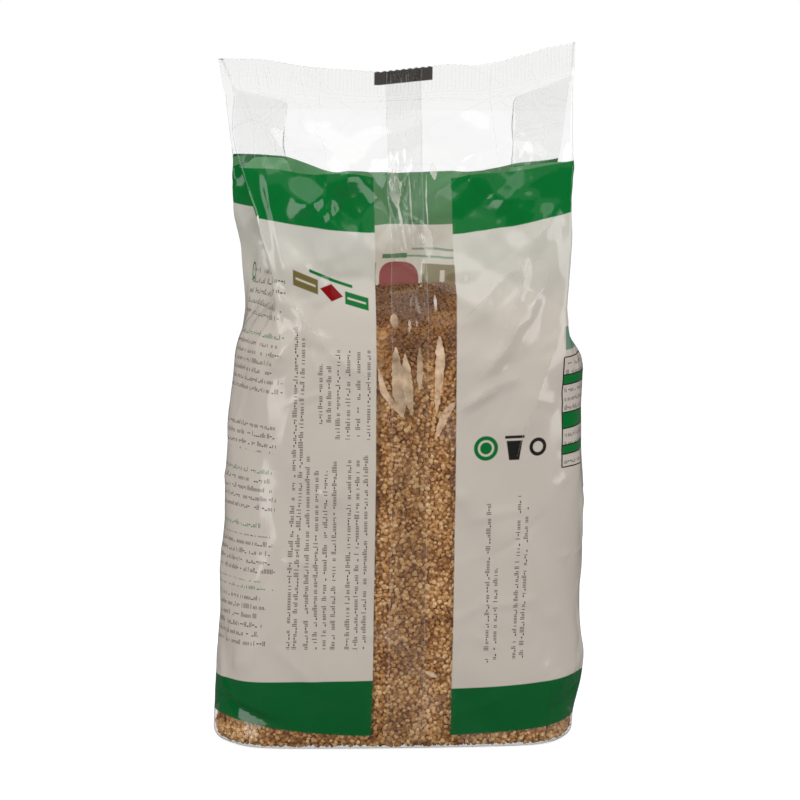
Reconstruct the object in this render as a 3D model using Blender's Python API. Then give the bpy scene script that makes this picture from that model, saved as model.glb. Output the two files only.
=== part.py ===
"""A pouch of brown sugar, standing on its base: a clear printed film bag with tucked side gussets.

The bag is one loft. Each ring of it is the film's section at one height, which changes from the rounded
box round the sugar to the gusseted wedge of empty film above it and to the flat crimped seal on top.
Girth is the distance along the film round the bag, from the middle of the shown face towards +X.
"""

import math

import bmesh
import bpy
import numpy as np

MM = 0.001

# The film, laid flat
PANEL_WIDTH = 108 * MM
GUSSET_WIDTH = 60 * MM
GIRTH = 2 * (PANEL_WIDTH + GUSSET_WIDTH)
FILM_HEIGHT = 238 * MM
SEAL_BOTTOM = 228 * MM
SEAL_HALF_THICKNESS = 0.5 * MM
SEAL_NOTCH = 1.0 * MM

# The filled bag from its base up, as (height, value) stations in millimetres. Near is the shown face and far
# the one behind it. An edge is a face's crease, by its distance from the middle.
HALF_DEPTH = [
    (0, 22.5), (25, 24), (100, 24), (140, 22.5), (163, 18),
    (188, 11), (212, 4), (226, 0.6), (228, 0.5),
]
NEAR_BULGE = [
    (0, 2.5), (15, 4.5), (60, 6.5), (110, 6.5), (150, 5.5),
    (175, 4.5), (200, 3), (218, 1), (226, 0),
]
FAR_BULGE = [
    (0, 2.5), (15, 4), (60, 6), (110, 6), (150, 4.5),
    (175, 3), (200, 2), (218, 0.5), (226, 0),
]
LEFT_NEAR_EDGE = [
    (0, 55.5), (30, 54.5), (80, 51), (120, 48.5), (146, 45),
    (160, 45), (185, 53.5), (204, 58.5), (216, 61), (229, 58.5), (238, 65),
]
LEFT_FAR_EDGE = [
    (0, 55.5), (30, 54.5), (80, 51), (120, 49.5), (150, 54),
    (185, 57), (206, 60.5), (228, 62.5), (238, 65),
]
RIGHT_NEAR_EDGE = [
    (0, 55), (12, 56), (25, 58.5), (50, 57), (85, 59),
    (150, 59), (165, 59.5), (206, 60.5), (238, 61),
]
RIGHT_FAR_EDGE = [
    (0, 55), (12, 56), (25, 58), (50, 56.5), (85, 58), (125, 56.5),
    (150, 54), (180, 55.5), (206, 58), (228, 60), (238, 61),
]
# How far each gusset is folded: 1 is popped out, -1 tucked in between the faces
LEFT_FOLD = [
    (0, 0.55), (25, 0.6), (60, 0.72), (115, 0.7), (143, 0.5),
    (152, 0), (162, -0.4), (190, -0.65), (238, -0.72),
]
RIGHT_FOLD = [
    (0, 0.6), (25, 0.75), (90, 0.65), (118, 0.55), (138, 0.55),
    (150, -0.1), (166, -0.5), (190, -0.65), (238, -0.7),
]
# How round the section's corners are
ROUNDING = [(0, 8), (60, 8), (130, 7.5), (148, 4.5), (165, 1.8), (190, 1.2), (228, 0.8)]

BASE_RADIUS = 3.5 * MM
FLAT_TO = 0.35  # the base's innermost ring, as a share of its outer one

# Each pinch is a fold that tucks the film in below a line, here from (girth, height) to (girth, height)
PINCHES = [((-80 * MM, 20.5 * MM), (-38 * MM, 9.5 * MM)), ((76 * MM, 21.5 * MM), (50 * MM, 13.5 * MM))]
PINCH_DEPTH = 2 * MM
PINCH_REACH = 5 * MM
PINCH_LIP = 1.2 * MM

# The broad dents of loosely held sugar, as (depth, girth wavelength, height wavelength, shift)
DENTS = [
    (0.5 * MM, GIRTH / 5, 170 * MM, 0.4),
    (0.35 * MM, GIRTH / 8, 96 * MM, 2.1),
    (0.25 * MM, GIRTH / 13, 61 * MM, 4.0),
]
DENTS_FROM = 12 * MM
DENTS_TO = 150 * MM

# The empty top waves in depth, its sides are drawn up, and its right corner most
HEADER_START = 150 * MM
HEADER_FULL = 200 * MM
LEFT_RISE = 3 * MM
LEFT_RISE_FROM = 18 * MM
LEFT_RISE_TO = 52 * MM
RIGHT_RISE = 4.5 * MM
TOP_WAVE = 3.2 * MM
WAVE_LENGTH = 104 * MM
WAVE_SHIFT = 14 * MM
CORNER_LIFT = 4.5 * MM
CORNER_FROM = 36 * MM
CORNER_START = 205 * MM

# How finely the film is made into faces, and how far a profile's corners are averaged out
COLUMN = 4.5 * MM
GUSSET_COLUMN = 4 * MM
EASE = 6 * MM
SHARP_ANGLE = math.radians(35)

FILM_COLOUR = (0.62, 0.59, 0.54, 1)
FILM_ROUGHNESS = 0.25


def eased(height, stations):
    """The value at a height, in metres, from stations in millimetres, with their corners averaged out."""
    heights, values = np.array(stations).T * MM
    nearby = height + np.linspace(-EASE, EASE, 7)
    return float(np.mean(np.interp(nearby, heights, values)))


def share(height, stations):
    """The same for stations whose values are plain numbers."""
    return eased(height, stations) / MM


def smooth_step(value, start, end):
    t = np.clip((value - start) / (end - start), 0, 1)
    return t * t * (3 - 2 * t)


def gusset_fold(near_edge, far_edge, half_depth, fold):
    """How far out a gusset's middle fold lies: its two halves keep their width while they turn."""
    slack = math.sqrt((GUSSET_WIDTH / 2) ** 2 - half_depth**2)
    return (near_edge + far_edge) / 2 + fold * slack


def side(height, near_stations, far_stations, fold_stations, half_depth):
    """Where one side's near crease, middle fold and far crease lie, outward from the middle."""
    near, far = eased(height, near_stations), eased(height, far_stations)
    fold = gusset_fold(near, far, half_depth, share(height, fold_stations))
    sealed = float(smooth_step(height, SEAL_BOTTOM - 4 * MM, SEAL_BOTTOM))
    return near, fold + sealed * (near - SEAL_NOTCH - fold), far


def crown(share_across):
    """A face's bulge from crease to crease, as a share of its height."""
    return 1 - (2 * np.clip(share_across, 0, 1) - 1) ** 2


def section(height):
    """The film's section at a height, as a point for every millimetre of girth."""
    depth = max(eased(height, HALF_DEPTH), SEAL_HALF_THICKNESS)
    left_near, left_fold, left_far = side(height, LEFT_NEAR_EDGE, LEFT_FAR_EDGE, LEFT_FOLD, depth)
    right_near, right_fold, right_far = side(height, RIGHT_NEAR_EDGE, RIGHT_FAR_EDGE, RIGHT_FOLD, depth)

    half = PANEL_WIDTH / 2
    steps = [PANEL_WIDTH, GUSSET_WIDTH / 2, GUSSET_WIDTH / 2, PANEL_WIDTH, GUSSET_WIDTH / 2, GUSSET_WIDTH / 2]
    creases = -half + np.cumsum([0] + steps)
    across = [-left_near, right_near, right_fold, right_far, -left_far, -left_fold, -left_near]
    along = [-depth, -depth, 0, depth, depth, 0, -depth]

    girth = -half + np.arange(round(GIRTH / MM)) * MM
    x, y = np.interp(girth, creases, across), np.interp(girth, creases, along)
    y -= eased(height, NEAR_BULGE) * crown((girth - creases[0]) / PANEL_WIDTH)
    y += eased(height, FAR_BULGE) * crown((girth - creases[3]) / PANEL_WIDTH)
    points = rounded(np.stack([x, y], axis=1), eased(height, ROUNDING))
    return pressed(points, np.where(girth > GIRTH / 2, girth - GIRTH, girth), height)


def rounded(points, width):
    """A closed line with its corners rounded, by a Gaussian average over a width along it."""
    reach = math.ceil(3 * width / MM)
    steps = np.arange(-reach, reach + 1)
    weights = np.exp(-0.5 * (steps * MM / width) ** 2)
    weights /= weights.sum()
    return sum(weight * np.roll(points, step, axis=0) for weight, step in zip(weights, steps))


def base_inset(height):
    """How far the film has drawn in where it turns under the base."""
    short = max(BASE_RADIUS - height, 0)
    return BASE_RADIUS - math.sqrt(BASE_RADIUS**2 - short**2)


def drawn_in(points, inset):
    """A section made smaller by the same distance all round."""
    reach = np.abs(points).max(axis=0)
    return points * (1 - inset / reach)


def along_pinch(girth, height, start, end):
    """How far below a pinch's line a place lies, and the share of the pinch's depth that reaches it."""
    run, drop = end[0] - start[0], end[1] - start[1]
    share_along = (girth - start[0]) / run
    below = (start[1] + share_along * drop - height) / math.hypot(1, drop / run)
    return below, smooth_step(share_along, 0, 0.3) * smooth_step(share_along, 1, 0.7)


def relief(girth, height):
    """How far the film stands in from its section: dents in the sugar, and the pinches near the base."""
    inward = np.zeros_like(girth)
    for depth, wide, high, shift in DENTS:
        phase = 2 * math.pi * (girth / wide + height / high) + shift
        inward += depth * np.sin(phase) * math.sin(2 * math.pi * height / high + shift)
    inward *= smooth_step(height, 0, DENTS_FROM) * smooth_step(height, DENTS_TO, DENTS_TO - DENTS_FROM)
    for start, end in PINCHES:
        below, strength = along_pinch(girth, height, start, end)
        tuck = smooth_step(below, -PINCH_LIP, PINCH_LIP) * np.exp(-np.maximum(below, 0) / PINCH_REACH)
        inward += PINCH_DEPTH * strength * tuck * smooth_step(height, 0, 2 * BASE_RADIUS)
    return inward


def pressed(points, girth, height):
    """A section with its relief pressed in, square to the film."""
    tangent = np.roll(points, -1, axis=0) - np.roll(points, 1, axis=0)
    outward = np.stack([tangent[:, 1], -tangent[:, 0]], axis=1)
    outward /= np.linalg.norm(outward, axis=1, keepdims=True)
    return points - outward * relief(girth, height)[:, None]


def placed(points, height):
    """A section's points in space, with the waves and lifted sides of the empty top."""
    x, y = points.T
    loose = smooth_step(height, HEADER_START, HEADER_FULL)
    left = LEFT_RISE * smooth_step(-x, LEFT_RISE_FROM, LEFT_RISE_TO)
    right = RIGHT_RISE * (np.maximum(x, 0) / (PANEL_WIDTH / 2)) ** 2
    corner = smooth_step(x, CORNER_FROM, PANEL_WIDTH / 2) * smooth_step(height, CORNER_START, FILM_HEIGHT)
    wave = loose * TOP_WAVE * np.sin(2 * math.pi * (x + WAVE_SHIFT) / WAVE_LENGTH)
    return np.stack([x, y + wave, height + loose * (left + right) + CORNER_LIFT * corner], axis=1)


def column_places():
    """The places along a section's points that get a column of faces, with one on every crease."""
    panel = np.linspace(0, PANEL_WIDTH, round(PANEL_WIDTH / COLUMN) + 1)[:-1]
    gusset = np.linspace(0, GUSSET_WIDTH, round(GUSSET_WIDTH / GUSSET_COLUMN) + 1)[:-1]
    half_girth = np.concatenate([panel, PANEL_WIDTH + gusset])
    return np.round(np.concatenate([half_girth, GIRTH / 2 + half_girth]) / MM).astype(int)


def ring_heights():
    """Heights of the rings, close together where the form changes fast."""
    under = BASE_RADIUS * (1 - np.cos(np.linspace(0, math.pi / 2, 5)))
    pinched = np.linspace(5.5, 23, 8) * MM
    body = np.linspace(29, 139, 15) * MM
    shoulder = np.linspace(145, 226, 20) * MM
    seal = np.linspace(228, FILM_HEIGHT / MM, 5) * MM
    return np.concatenate([under, pinched, body, shoulder, seal])


def film_rings():
    columns = column_places()
    rings = []
    for height in ring_heights():
        points = drawn_in(section(height)[columns], base_inset(height))
        rings.append(placed(points, height))
    return rings


def make_material():
    material = bpy.data.materials.new("film")
    material.use_nodes = True
    shader = material.node_tree.nodes["Principled BSDF"]
    shader.inputs["Base Color"].default_value = FILM_COLOUR
    shader.inputs["Roughness"].default_value = FILM_ROUGHNESS
    shader.inputs["Metallic"].default_value = 0
    return material


def bridge(mesh, lower, upper):
    """A band of faces between two closed rows of corners."""
    for i in range(len(lower)):
        j = (i + 1) % len(lower)
        mesh.faces.new((lower[i], lower[j], upper[j], upper[i]))


def close_base(mesh, rim):
    """The flat base: a band from its rim to a smaller ring, and one face inside that."""
    middle = sum((corner.co for corner in rim), rim[0].co * 0) / len(rim)
    inner = [mesh.verts.new(middle + (corner.co - middle) * FLAT_TO) for corner in rim]
    bridge(mesh, inner, rim)
    mesh.faces.new(list(reversed(inner)))


def close_top(mesh, rim):
    """The cut edge of the seal: near and far panel joined corner by corner, and the gussets' ends."""
    panel = round(PANEL_WIDTH / COLUMN)
    gusset = round(GUSSET_WIDTH / GUSSET_COLUMN)
    near = rim[: panel + 1]
    right = rim[panel : panel + gusset + 1]
    far = rim[panel + gusset : 2 * panel + gusset + 1]
    left = rim[2 * panel + gusset :] + [rim[0]]
    for i in range(panel):
        mesh.faces.new((near[i], near[i + 1], far[panel - i - 1], far[panel - i]))
    mesh.faces.new(right)
    mesh.faces.new(left)


def make_pouch(collection):
    mesh = bmesh.new()
    rows = [[mesh.verts.new(point) for point in ring] for ring in film_rings()]
    for lower, upper in zip(rows, rows[1:]):
        bridge(mesh, lower, upper)
    close_base(mesh, rows[0])
    close_top(mesh, rows[-1])
    bmesh.ops.recalc_face_normals(mesh, faces=mesh.faces[:])
    bmesh.ops.triangulate(mesh, faces=mesh.faces[:])

    data = bpy.data.meshes.new("pouch")
    mesh.to_mesh(data)
    mesh.free()
    data.shade_smooth()
    data.set_sharp_from_angle(angle=SHARP_ANGLE)
    data.materials.append(make_material())
    pouch = bpy.data.objects.new("pouch", data)
    collection.objects.link(pouch)
    return pouch


def main():
    for obj in list(bpy.data.objects):
        bpy.data.objects.remove(obj)
    collection = bpy.data.collections.new("sugar_pouch")
    bpy.context.scene.collection.children.link(collection)
    make_pouch(collection)


main()
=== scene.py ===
"""The looks of a pouch of brown sugar: a clear printed film bag with tucked gussets, and the sugar in it.

The film, its inner face and the sugar are built from one loft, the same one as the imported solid's, with
finer faces. A place on the film is given by u and v in millimetres: u runs along the film round the bag
from the print's middle line on the shown face towards +X, and v is the height on the flat print.
"""

import math

import bpy
import numpy as np
from mathutils import Matrix, Vector


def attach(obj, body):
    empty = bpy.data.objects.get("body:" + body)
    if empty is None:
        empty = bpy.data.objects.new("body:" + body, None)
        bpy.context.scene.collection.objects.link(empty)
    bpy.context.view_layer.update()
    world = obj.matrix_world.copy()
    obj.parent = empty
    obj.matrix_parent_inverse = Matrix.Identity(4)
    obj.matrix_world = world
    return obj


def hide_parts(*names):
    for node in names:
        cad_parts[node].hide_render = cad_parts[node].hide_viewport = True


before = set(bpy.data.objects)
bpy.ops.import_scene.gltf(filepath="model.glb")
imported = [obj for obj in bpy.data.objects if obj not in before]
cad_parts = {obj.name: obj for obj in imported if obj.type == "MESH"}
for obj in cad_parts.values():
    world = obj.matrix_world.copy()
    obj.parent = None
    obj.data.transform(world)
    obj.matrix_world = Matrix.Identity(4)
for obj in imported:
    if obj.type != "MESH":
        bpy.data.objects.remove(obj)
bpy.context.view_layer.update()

MM = 0.001

# The film laid flat, and the filled bag from its base up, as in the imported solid
PANEL = 108 * MM
GUSSET = 60 * MM
GIRTH = 2 * (PANEL + GUSSET)
FILM_HEIGHT = 238 * MM
SEAL_BOTTOM = 228 * MM
SEAL_HALF_THICKNESS = 0.5 * MM
SEAL_NOTCH = 1.0 * MM
HALF_DEPTH = [
    (0, 22.5), (25, 24), (100, 24), (140, 22.5), (163, 18),
    (188, 11), (212, 4), (226, 0.6), (228, 0.5),
]
NEAR_BULGE = [
    (0, 2.5), (15, 4.5), (60, 6.5), (110, 6.5), (150, 5.5),
    (175, 4.5), (200, 3), (218, 1), (226, 0),
]
FAR_BULGE = [
    (0, 2.5), (15, 4), (60, 6), (110, 6), (150, 4.5),
    (175, 3), (200, 2), (218, 0.5), (226, 0),
]
LEFT_NEAR_EDGE = [
    (0, 55.5), (30, 54.5), (80, 51), (120, 48.5), (146, 45),
    (160, 45), (185, 53.5), (204, 58.5), (216, 61), (229, 58.5), (238, 65),
]
LEFT_FAR_EDGE = [
    (0, 55.5), (30, 54.5), (80, 51), (120, 49.5), (150, 54),
    (185, 57), (206, 60.5), (228, 62.5), (238, 65),
]
RIGHT_NEAR_EDGE = [
    (0, 55), (12, 56), (25, 58.5), (50, 57), (85, 59),
    (150, 59), (165, 59.5), (206, 60.5), (238, 61),
]
RIGHT_FAR_EDGE = [
    (0, 55), (12, 56), (25, 58), (50, 56.5), (85, 58), (125, 56.5),
    (150, 54), (180, 55.5), (206, 58), (228, 60), (238, 61),
]
LEFT_FOLD = [
    (0, 0.55), (25, 0.6), (60, 0.72), (115, 0.7), (143, 0.5),
    (152, 0), (162, -0.4), (190, -0.65), (238, -0.72),
]
RIGHT_FOLD = [
    (0, 0.6), (25, 0.75), (90, 0.65), (118, 0.55), (138, 0.55),
    (150, -0.1), (166, -0.5), (190, -0.65), (238, -0.7),
]
ROUNDING = [(0, 8), (60, 8), (130, 7.5), (148, 4.5), (165, 1.8), (190, 1.2), (228, 0.8)]
BASE_RADIUS = 3.5 * MM
PINCHES = [((-80 * MM, 20.5 * MM), (-38 * MM, 9.5 * MM)), ((76 * MM, 21.5 * MM), (50 * MM, 13.5 * MM))]
PINCH_DEPTH = 2 * MM
PINCH_REACH = 5 * MM
PINCH_LIP = 1.2 * MM
DENTS = [
    (0.5 * MM, GIRTH / 5, 170 * MM, 0.4),
    (0.35 * MM, GIRTH / 8, 96 * MM, 2.1),
    (0.25 * MM, GIRTH / 13, 61 * MM, 4.0),
]
DENTS_FROM = 12 * MM
DENTS_TO = 150 * MM
HEADER_START = 150 * MM
HEADER_FULL = 200 * MM
LEFT_RISE = 3 * MM
LEFT_RISE_FROM = 18 * MM
LEFT_RISE_TO = 52 * MM
RIGHT_RISE = 4.5 * MM
TOP_WAVE = 3.2 * MM
WAVE_LENGTH = 104 * MM
WAVE_SHIFT = 14 * MM
CORNER_LIFT = 4.5 * MM
CORNER_FROM = 36 * MM
CORNER_START = 205 * MM
EASE = 6 * MM

# The film's mesh, with columns a millimetre apart from the left crease of the shown face
FLAT_FILM = "flat_film"
COLUMNS = round(GIRTH / MM)
PANEL_COLUMNS = round(PANEL / MM)
BASE_RINGS = 14
EDGE_LIFT = [
    (-70, -0.3), (-50, -0.3), (-38, -1.1), (-22, -0.6), (-8, -1.2), (5, 0.3),
    (17, 1.3), (27, 0.2), (40, 1.6), (47, 0.1), (54, -0.5), (61, -0.2),
]
EDGE_LIFT_FROM = 205 * MM
TOOTH = 0.2 * MM
RIB_PITCH = 1.4

# Where the middle line of the print crosses the bag, and how much lower than its place the print lies
PRINT_MIDDLE = 3.2 * MM
PRINT_DRAG_LEFT = [
    (0, 7.5), (6, 5.5), (14, 2), (22, -1.5), (60, 0),
    (150, 2), (181, 3.8), (201, -0.7), (238, 0),
]
PRINT_DRAG_RIGHT = [(0, 2.5), (20, 1.6), (60, 0.5), (150, 1.5), (181, 3.4), (201, 0.5), (238, 0)]
PRINT_DRAG_POWER = 3
FAR_RISE = 1.0
FAR_RISE_LEFT = 4.4
FAR_RISE_U = (54, 66)
FAR_RISE_X = (20 * MM, 42 * MM)
FAR_RISE_V = (150, 185)

# The print, in millimetres of u and v
HALF_GIRTH = 168
WINDOW_HALF = 14
UPPER_BAND = (181.3, 200.3)
LOWER_BAND_BOTTOM = 5.3
LOWER_BAND_TOP = 23.9
LOWER_BAND_SLANT = 1.65 / 154
EDGE = 0.3
INK_OPACITY = 0.96
INK_ROUGHNESS = 0.13
CLEAR_ROUGHNESS = 0.09
SHINE_FACING = 0.04
SHINE_GRAZING = 0.7
REFRACTIVE_INDEX = 1.5
# A painted glow, given to the print's inner face, for the light that comes through the ink
INK_GLOW_FOR_LIGHT_THROUGH = 0.45

# Creases of the film seen in the shown face, as (height, width, path), all in millimetres
SHOWN_CREASES = [
    (1.5, 5, [(41, 172), (38.6, 165.3), (35.8, 157.7), (29.8, 146.2), (26.7, 137.3), (20.4, 128.4)]),
    (1.2, 4, [
        (48, 168), (45.6, 161.8), (41.6, 156.4), (34.7, 148), (30.7, 141.2), (26.7, 136.3), (20, 127),
    ]),
    (1.5, 5, [(44, 170), (37.5, 167.4), (31.6, 165.8), (26, 160.2), (17, 152.5)]),
    (0.9, 3.5, [(16, 121), (24.5, 128), (34.4, 131.1), (40, 131.5)]),
    (1.2, 9, [(55, 150), (52.6, 144.9), (48.2, 138.3), (45.3, 129.6), (41.1, 119.9), (38, 112), (36, 104)]),
    (1.3, 6, [(46, 188), (45.4, 177.3), (46.5, 167.4), (44, 158)]),
    (1.1, 5, [(51, 190), (48.6, 181), (50.5, 169.7), (52, 158)]),
    (1.1, 5, [(33, 169), (36.3, 172.4), (45.4, 177.3), (50, 180)]),
    (0.8, 3, [(14, 119), (18.1, 122.4), (25.3, 126.3), (30, 127)]),
    (1.9, 5, [(-52, 163), (-44.7, 156.4), (-40.7, 153.8), (-35.1, 146.1), (-29.3, 145.3), (-23, 143)]),
    (1.7, 5, [(-40, 151), (-42, 144), (-47, 138), (-53, 131)]),
    (1.3, 5, [(-43, 157), (-40.7, 153.8), (-38, 145), (-35.7, 139.1), (-33, 128)]),
    (1.2, 4, [(-39, 150), (-31, 141), (-22, 134.5), (-15, 131)]),
    (0.8, 8, [(-39, 199), (-33.7, 195.4), (-27.9, 193.4), (-14.2, 182.5)]),
    (0.7, 5, [(-23, 203), (-25.7, 199.5), (-27.9, 193.4)]),
    (0.6, 3, [(-46, 183), (-43.2, 184.4), (-35.1, 191.2), (-32.4, 194.4), (-29, 196)]),
    (0.5, 3, [(-44, 190), (-38, 188), (-33, 192)]),
]

# Random creases, as (count, lowest v, highest v, lengths, widths, heights, share that stands inwards)
CREASE_KINDS = [
    (210, 6, 158, (9, 38), (1.8, 5), (0.14, 0.5), 0.2),
    (60, 150, 204, (8, 30), (2, 6), (0.2, 0.7), 0.5),
    (60, 196, 226, (9, 30), (2, 6), (0.15, 0.5), 0.5),
]
CREASE_SEED = 12

# Folds of the free film, as (wave length, slope of its sides), calmer near the bag's four upright creases
FACETS = [(58, 0.13), (38, 0.12), (25, 0.11), (17, 0.08)]
FACETS_FROM = 128
FACETS_TO = 172
FACETS_ON_SUGAR = 0.12
FACETS_CALM_AT = (54, 114)
FACETS_CALM = 9
FACETS_CALMED = 0.85

# The fold where the film laps over itself, with a steep side on the left
LAP_HEIGHT = 1.2
LAP_WIDTH = 11
LAP_PATH = [(-53.5, 206), (-51.5, 190), (-48.5, 176), (-45.5, 163), (-41.5, 154.5), (-37, 147)]
LAP_EDGE = 1.7
SUGAR_PRESS = 0.2
FREE_DEPTH = 8 * MM

# The back seal, a lap of film down the middle of the shown face. Its crumples are (middle v, spread,
# height), and its creases (count, range of u, range of v, lengths, widths, heights).
STRIP_U = (-8.6, 4.2)
STRIP_V = (2, 237.8)
STRIP_STEP = 0.4
STRIP_GAP = 0.12 * MM
STRIP_THICKNESS = 0.1 * MM
STRIP_TAPER = 0.8
STRIP_CRUMPLES = [(182, 18, 0.25), (150, 30, 0.15), (210, 22, 0.15)]
STRIP_CREASES = (22, (-8, -1), (176, 204), (5, 16), (0.7, 1.3), (0.3, 0.75))

# Painted sheen: milky patches, painted reflections where the film stands off the sugar or is
# crumpled, as (half width, sheen amount, path)
PAINTED_SHEEN_PATCHES = [
    (2.4, 0.72, [(-7.4, 142.5), (-6.8, 133), (-5.6, 124), (-4.9, 118.4)]),
    (1.9, 0.8, [(-4.1, 140), (-3.2, 130), (-1.7, 119.1)]),
    (1.2, 0.6, [(1.1, 142.4), (1.3, 134), (1.1, 127.8)]),
    (1.7, 0.72, [(7.8, 146.2), (8.3, 138), (7.1, 119.5)]),
    (1.5, 0.65, [(13.6, 123.5), (10.2, 119.5), (6.8, 110.8)]),
    (1.2, 0.7, [(-13.4, 135), (-11.4, 127), (-4.9, 118.4)]),
    (1.6, 0.6, [(-7.9, 154), (-7.4, 149)]),
    (0.6, 0.6, [(6.4, 160), (6.7, 154)]),
    (0.9, 0.6, [(4.6, 28.4), (9, 26.5)]),
    (2.3, 0.4, [(-6.4, 203.5), (-5.8, 198), (-5.2, 190.5)]),
    (0.6, 0.5, [(-4.9, 193), (-4.3, 184), (-3.1, 175.5)]),
    (0.35, 0.5, [(-0.7, 203.5), (-0.2, 190), (-0.5, 177)]),
    (0.3, 0.5, [(5.5, 202), (5.2, 193), (5.5, 184)]),
    (1.3, 0.4, [(7.7, 206), (8.4, 200)]),
    (2.2, 0.3, [(4.4, 185), (5.5, 173.5)]),
]

# Fold lines of the empty top. They and the creases below it are drawn as thin milky lines, painted
# highlights along the folds and creases, each with a (half width, sheen amount).
FOLD_LINES = [
    [(-55.5, 237), (-54.1, 226.7)],
    [(-53, 237), (-50, 226)],
    [(-51.4, 237.5), (-50, 230.5)],
    [(-40, 234), (-38, 227), (-36, 223)],
    [(-36, 223), (-33.4, 215), (-31.7, 208.5), (-30.3, 201)],
    [(-31.7, 236), (-33, 230), (-32.7, 222)],
    [(-56, 230), (-54, 226.7), (-47.3, 225.6), (-41.2, 224.5)],
    [(-56, 215.6), (-50, 215.3), (-43, 214.5)],
    [(-50, 226), (-49.7, 215.6)],
    [(-55.2, 223), (-56, 215.6), (-56, 203)],
    [(-49.7, 215), (-45, 212), (-41.5, 207)],
    [(28.7, 237.5), (28.4, 226.8), (29.4, 218.3), (31.1, 201)],
    [(28.4, 226.8), (36.9, 225.4), (47.7, 225.1), (50.5, 225)],
    [(49.1, 223.7), (48, 213.3), (46.4, 207.4), (44.3, 201.3)],
    [(31, 225.3), (35, 222), (40, 221.5), (47, 222.6)],
    [(-29, 226.1), (-12, 227.5), (10, 226.8), (27, 226)],
    [(-8.6, 231), (-8.4, 222), (-8.6, 213)],
    [(3.6, 231), (4.1, 215), (3.8, 204)],
]
FOLD_SHEEN = (0.15, 0.5)
CREASE_HIGHLIGHT = (0.13, 0.32)
PATCH_STEPS = 26
PATCH_RAGGED = (0.75, 1.1)
PATCH_GAP = 0.06 * MM
PATCH_SEED = 3

# The film's inner face, drawn only where the sugar doesn't cover it
LINER_V = (138, 200.2)
LINER_GAP = 0.18 * MM

# The sugar, which fills the bag to a level that rises towards the back
SUGAR_GAP = 1.55 * MM
SUGAR_FLOOR = 1.0 * MM
SUGAR_LEVEL = 155 * MM
SUGAR_SLOPE = 0.25
SUGAR_RINGS = 150
TOP_RINGS = 26
LUMP = 1.3 * MM
CORE_RELIEF = 0.35 * MM
GRAIN_SEED = 5
GRAIN_SIZES = (0.7 * MM, 1.05 * MM)
GRAIN_SHAPES = 16
GRAIN_LOWEST = 0.25 * MM
GRAIN_SQUEEZE = ([0.85, 0.75, 0.6], [1.15, 1.0, 0.9])
GRAIN_UNEVEN = 0.12
# Painted shade: grains are made darker towards the top of the heap, where the sugar slopes away from the
# film
PAINTED_SHADE_TONE = 0.02
PAINTED_SHADE_HEIGHTS = (126 * MM, 149 * MM)
WINDOW_COLUMNS = (41, 73)
WINDOW_SPACING = 1.25
FOOT_SPACING = 1.35
FOOT_HEIGHT = 8 * MM
TOP_SPACING = 1.45 * MM
UNDERSIDE_SPACING = 1.8 * MM
GRAIN_JITTER = 0.5 * MM

# The camera that took the photograph, and the studio, with lamps as (name, place, width, height, watts)
CAMERA_AZIMUTH = math.radians(-7)
CAMERA_ELEVATION = math.radians(6.5)
CAMERA_ROLL = math.radians(0.8)
CAMERA_DISTANCE = 1.2
CAMERA_AIM = Vector((0.001, 0, 0.121))
CAMERA_LENS = 152.1
FLOOR_GAP = 0.3 * MM
FLOOR_GLOW = 0.84
FLOOR_HALF = 8
FLOOR_GREY = (0.5, 0.5, 0.5, 1)
FLOOR_IN_GLOSS = (0.12, 0.12, 0.12, 1)
WORLD_ON_DIFFUSE = 0.38
WORLD_ON_GLOSS = 0.03
LAMP_AIM = (0, 0, 0.12)
LAMPS = [
    ("front", (-0.1, -1.0, 1.25), 1.8, 0.9, 1.6),
    ("left", (-1.2, -0.85, 0.35), 0.8, 1.0, 8),
    ("right", (1.3, -0.75, 0.35), 0.8, 1.0, 7),
    ("top", (0.1, -0.35, 1.4), 1.3, 1.1, 6),
]


def eased(height, stations):
    """The value at each height, in metres, from stations in millimetres, with averaged corners."""
    heights, values = np.array(stations).T * MM
    nearby = np.asarray(height)[..., None] + np.linspace(-EASE, EASE, 7)
    return np.interp(nearby, heights, values).mean(axis=-1)


def share(height, stations):
    """The same for stations whose values are plain numbers."""
    return eased(height, stations) / MM


def smooth_step(value, start, end):
    t = np.clip((value - start) / (end - start), 0, 1)
    return t * t * (3 - 2 * t)


def side(height, near_stations, far_stations, fold_stations, half_depth):
    """Where one side's near crease, middle fold and far crease lie, outward from the middle."""
    near, far = eased(height, near_stations), eased(height, far_stations)
    slack = math.sqrt((GUSSET / 2) ** 2 - half_depth**2)
    fold = (near + far) / 2 + share(height, fold_stations) * slack
    sealed = smooth_step(height, SEAL_BOTTOM - 4 * MM, SEAL_BOTTOM)
    return near, fold + sealed * (near - SEAL_NOTCH - fold), far


def crown(share_across):
    """A face's bulge from crease to crease, as a share of its height."""
    return 1 - (2 * np.clip(share_across, 0, 1) - 1) ** 2


def rounded(points, width):
    """A closed line with its corners rounded, by a Gaussian average over a width along it."""
    reach = math.ceil(3 * width / MM)
    steps = np.arange(-reach, reach + 1)
    weights = np.exp(-0.5 * (steps * MM / width) ** 2)
    weights /= weights.sum()
    return sum(weight * np.roll(points, step, axis=0) for weight, step in zip(weights, steps))


def along_pinch(girth, height, start, end):
    """How far below a pinch's line a place lies, and the share of the pinch's depth that reaches it."""
    run, drop = end[0] - start[0], end[1] - start[1]
    share_along = (girth - start[0]) / run
    below = (start[1] + share_along * drop - height) / math.hypot(1, drop / run)
    return below, smooth_step(share_along, 0, 0.3) * smooth_step(share_along, 1, 0.7)


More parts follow.
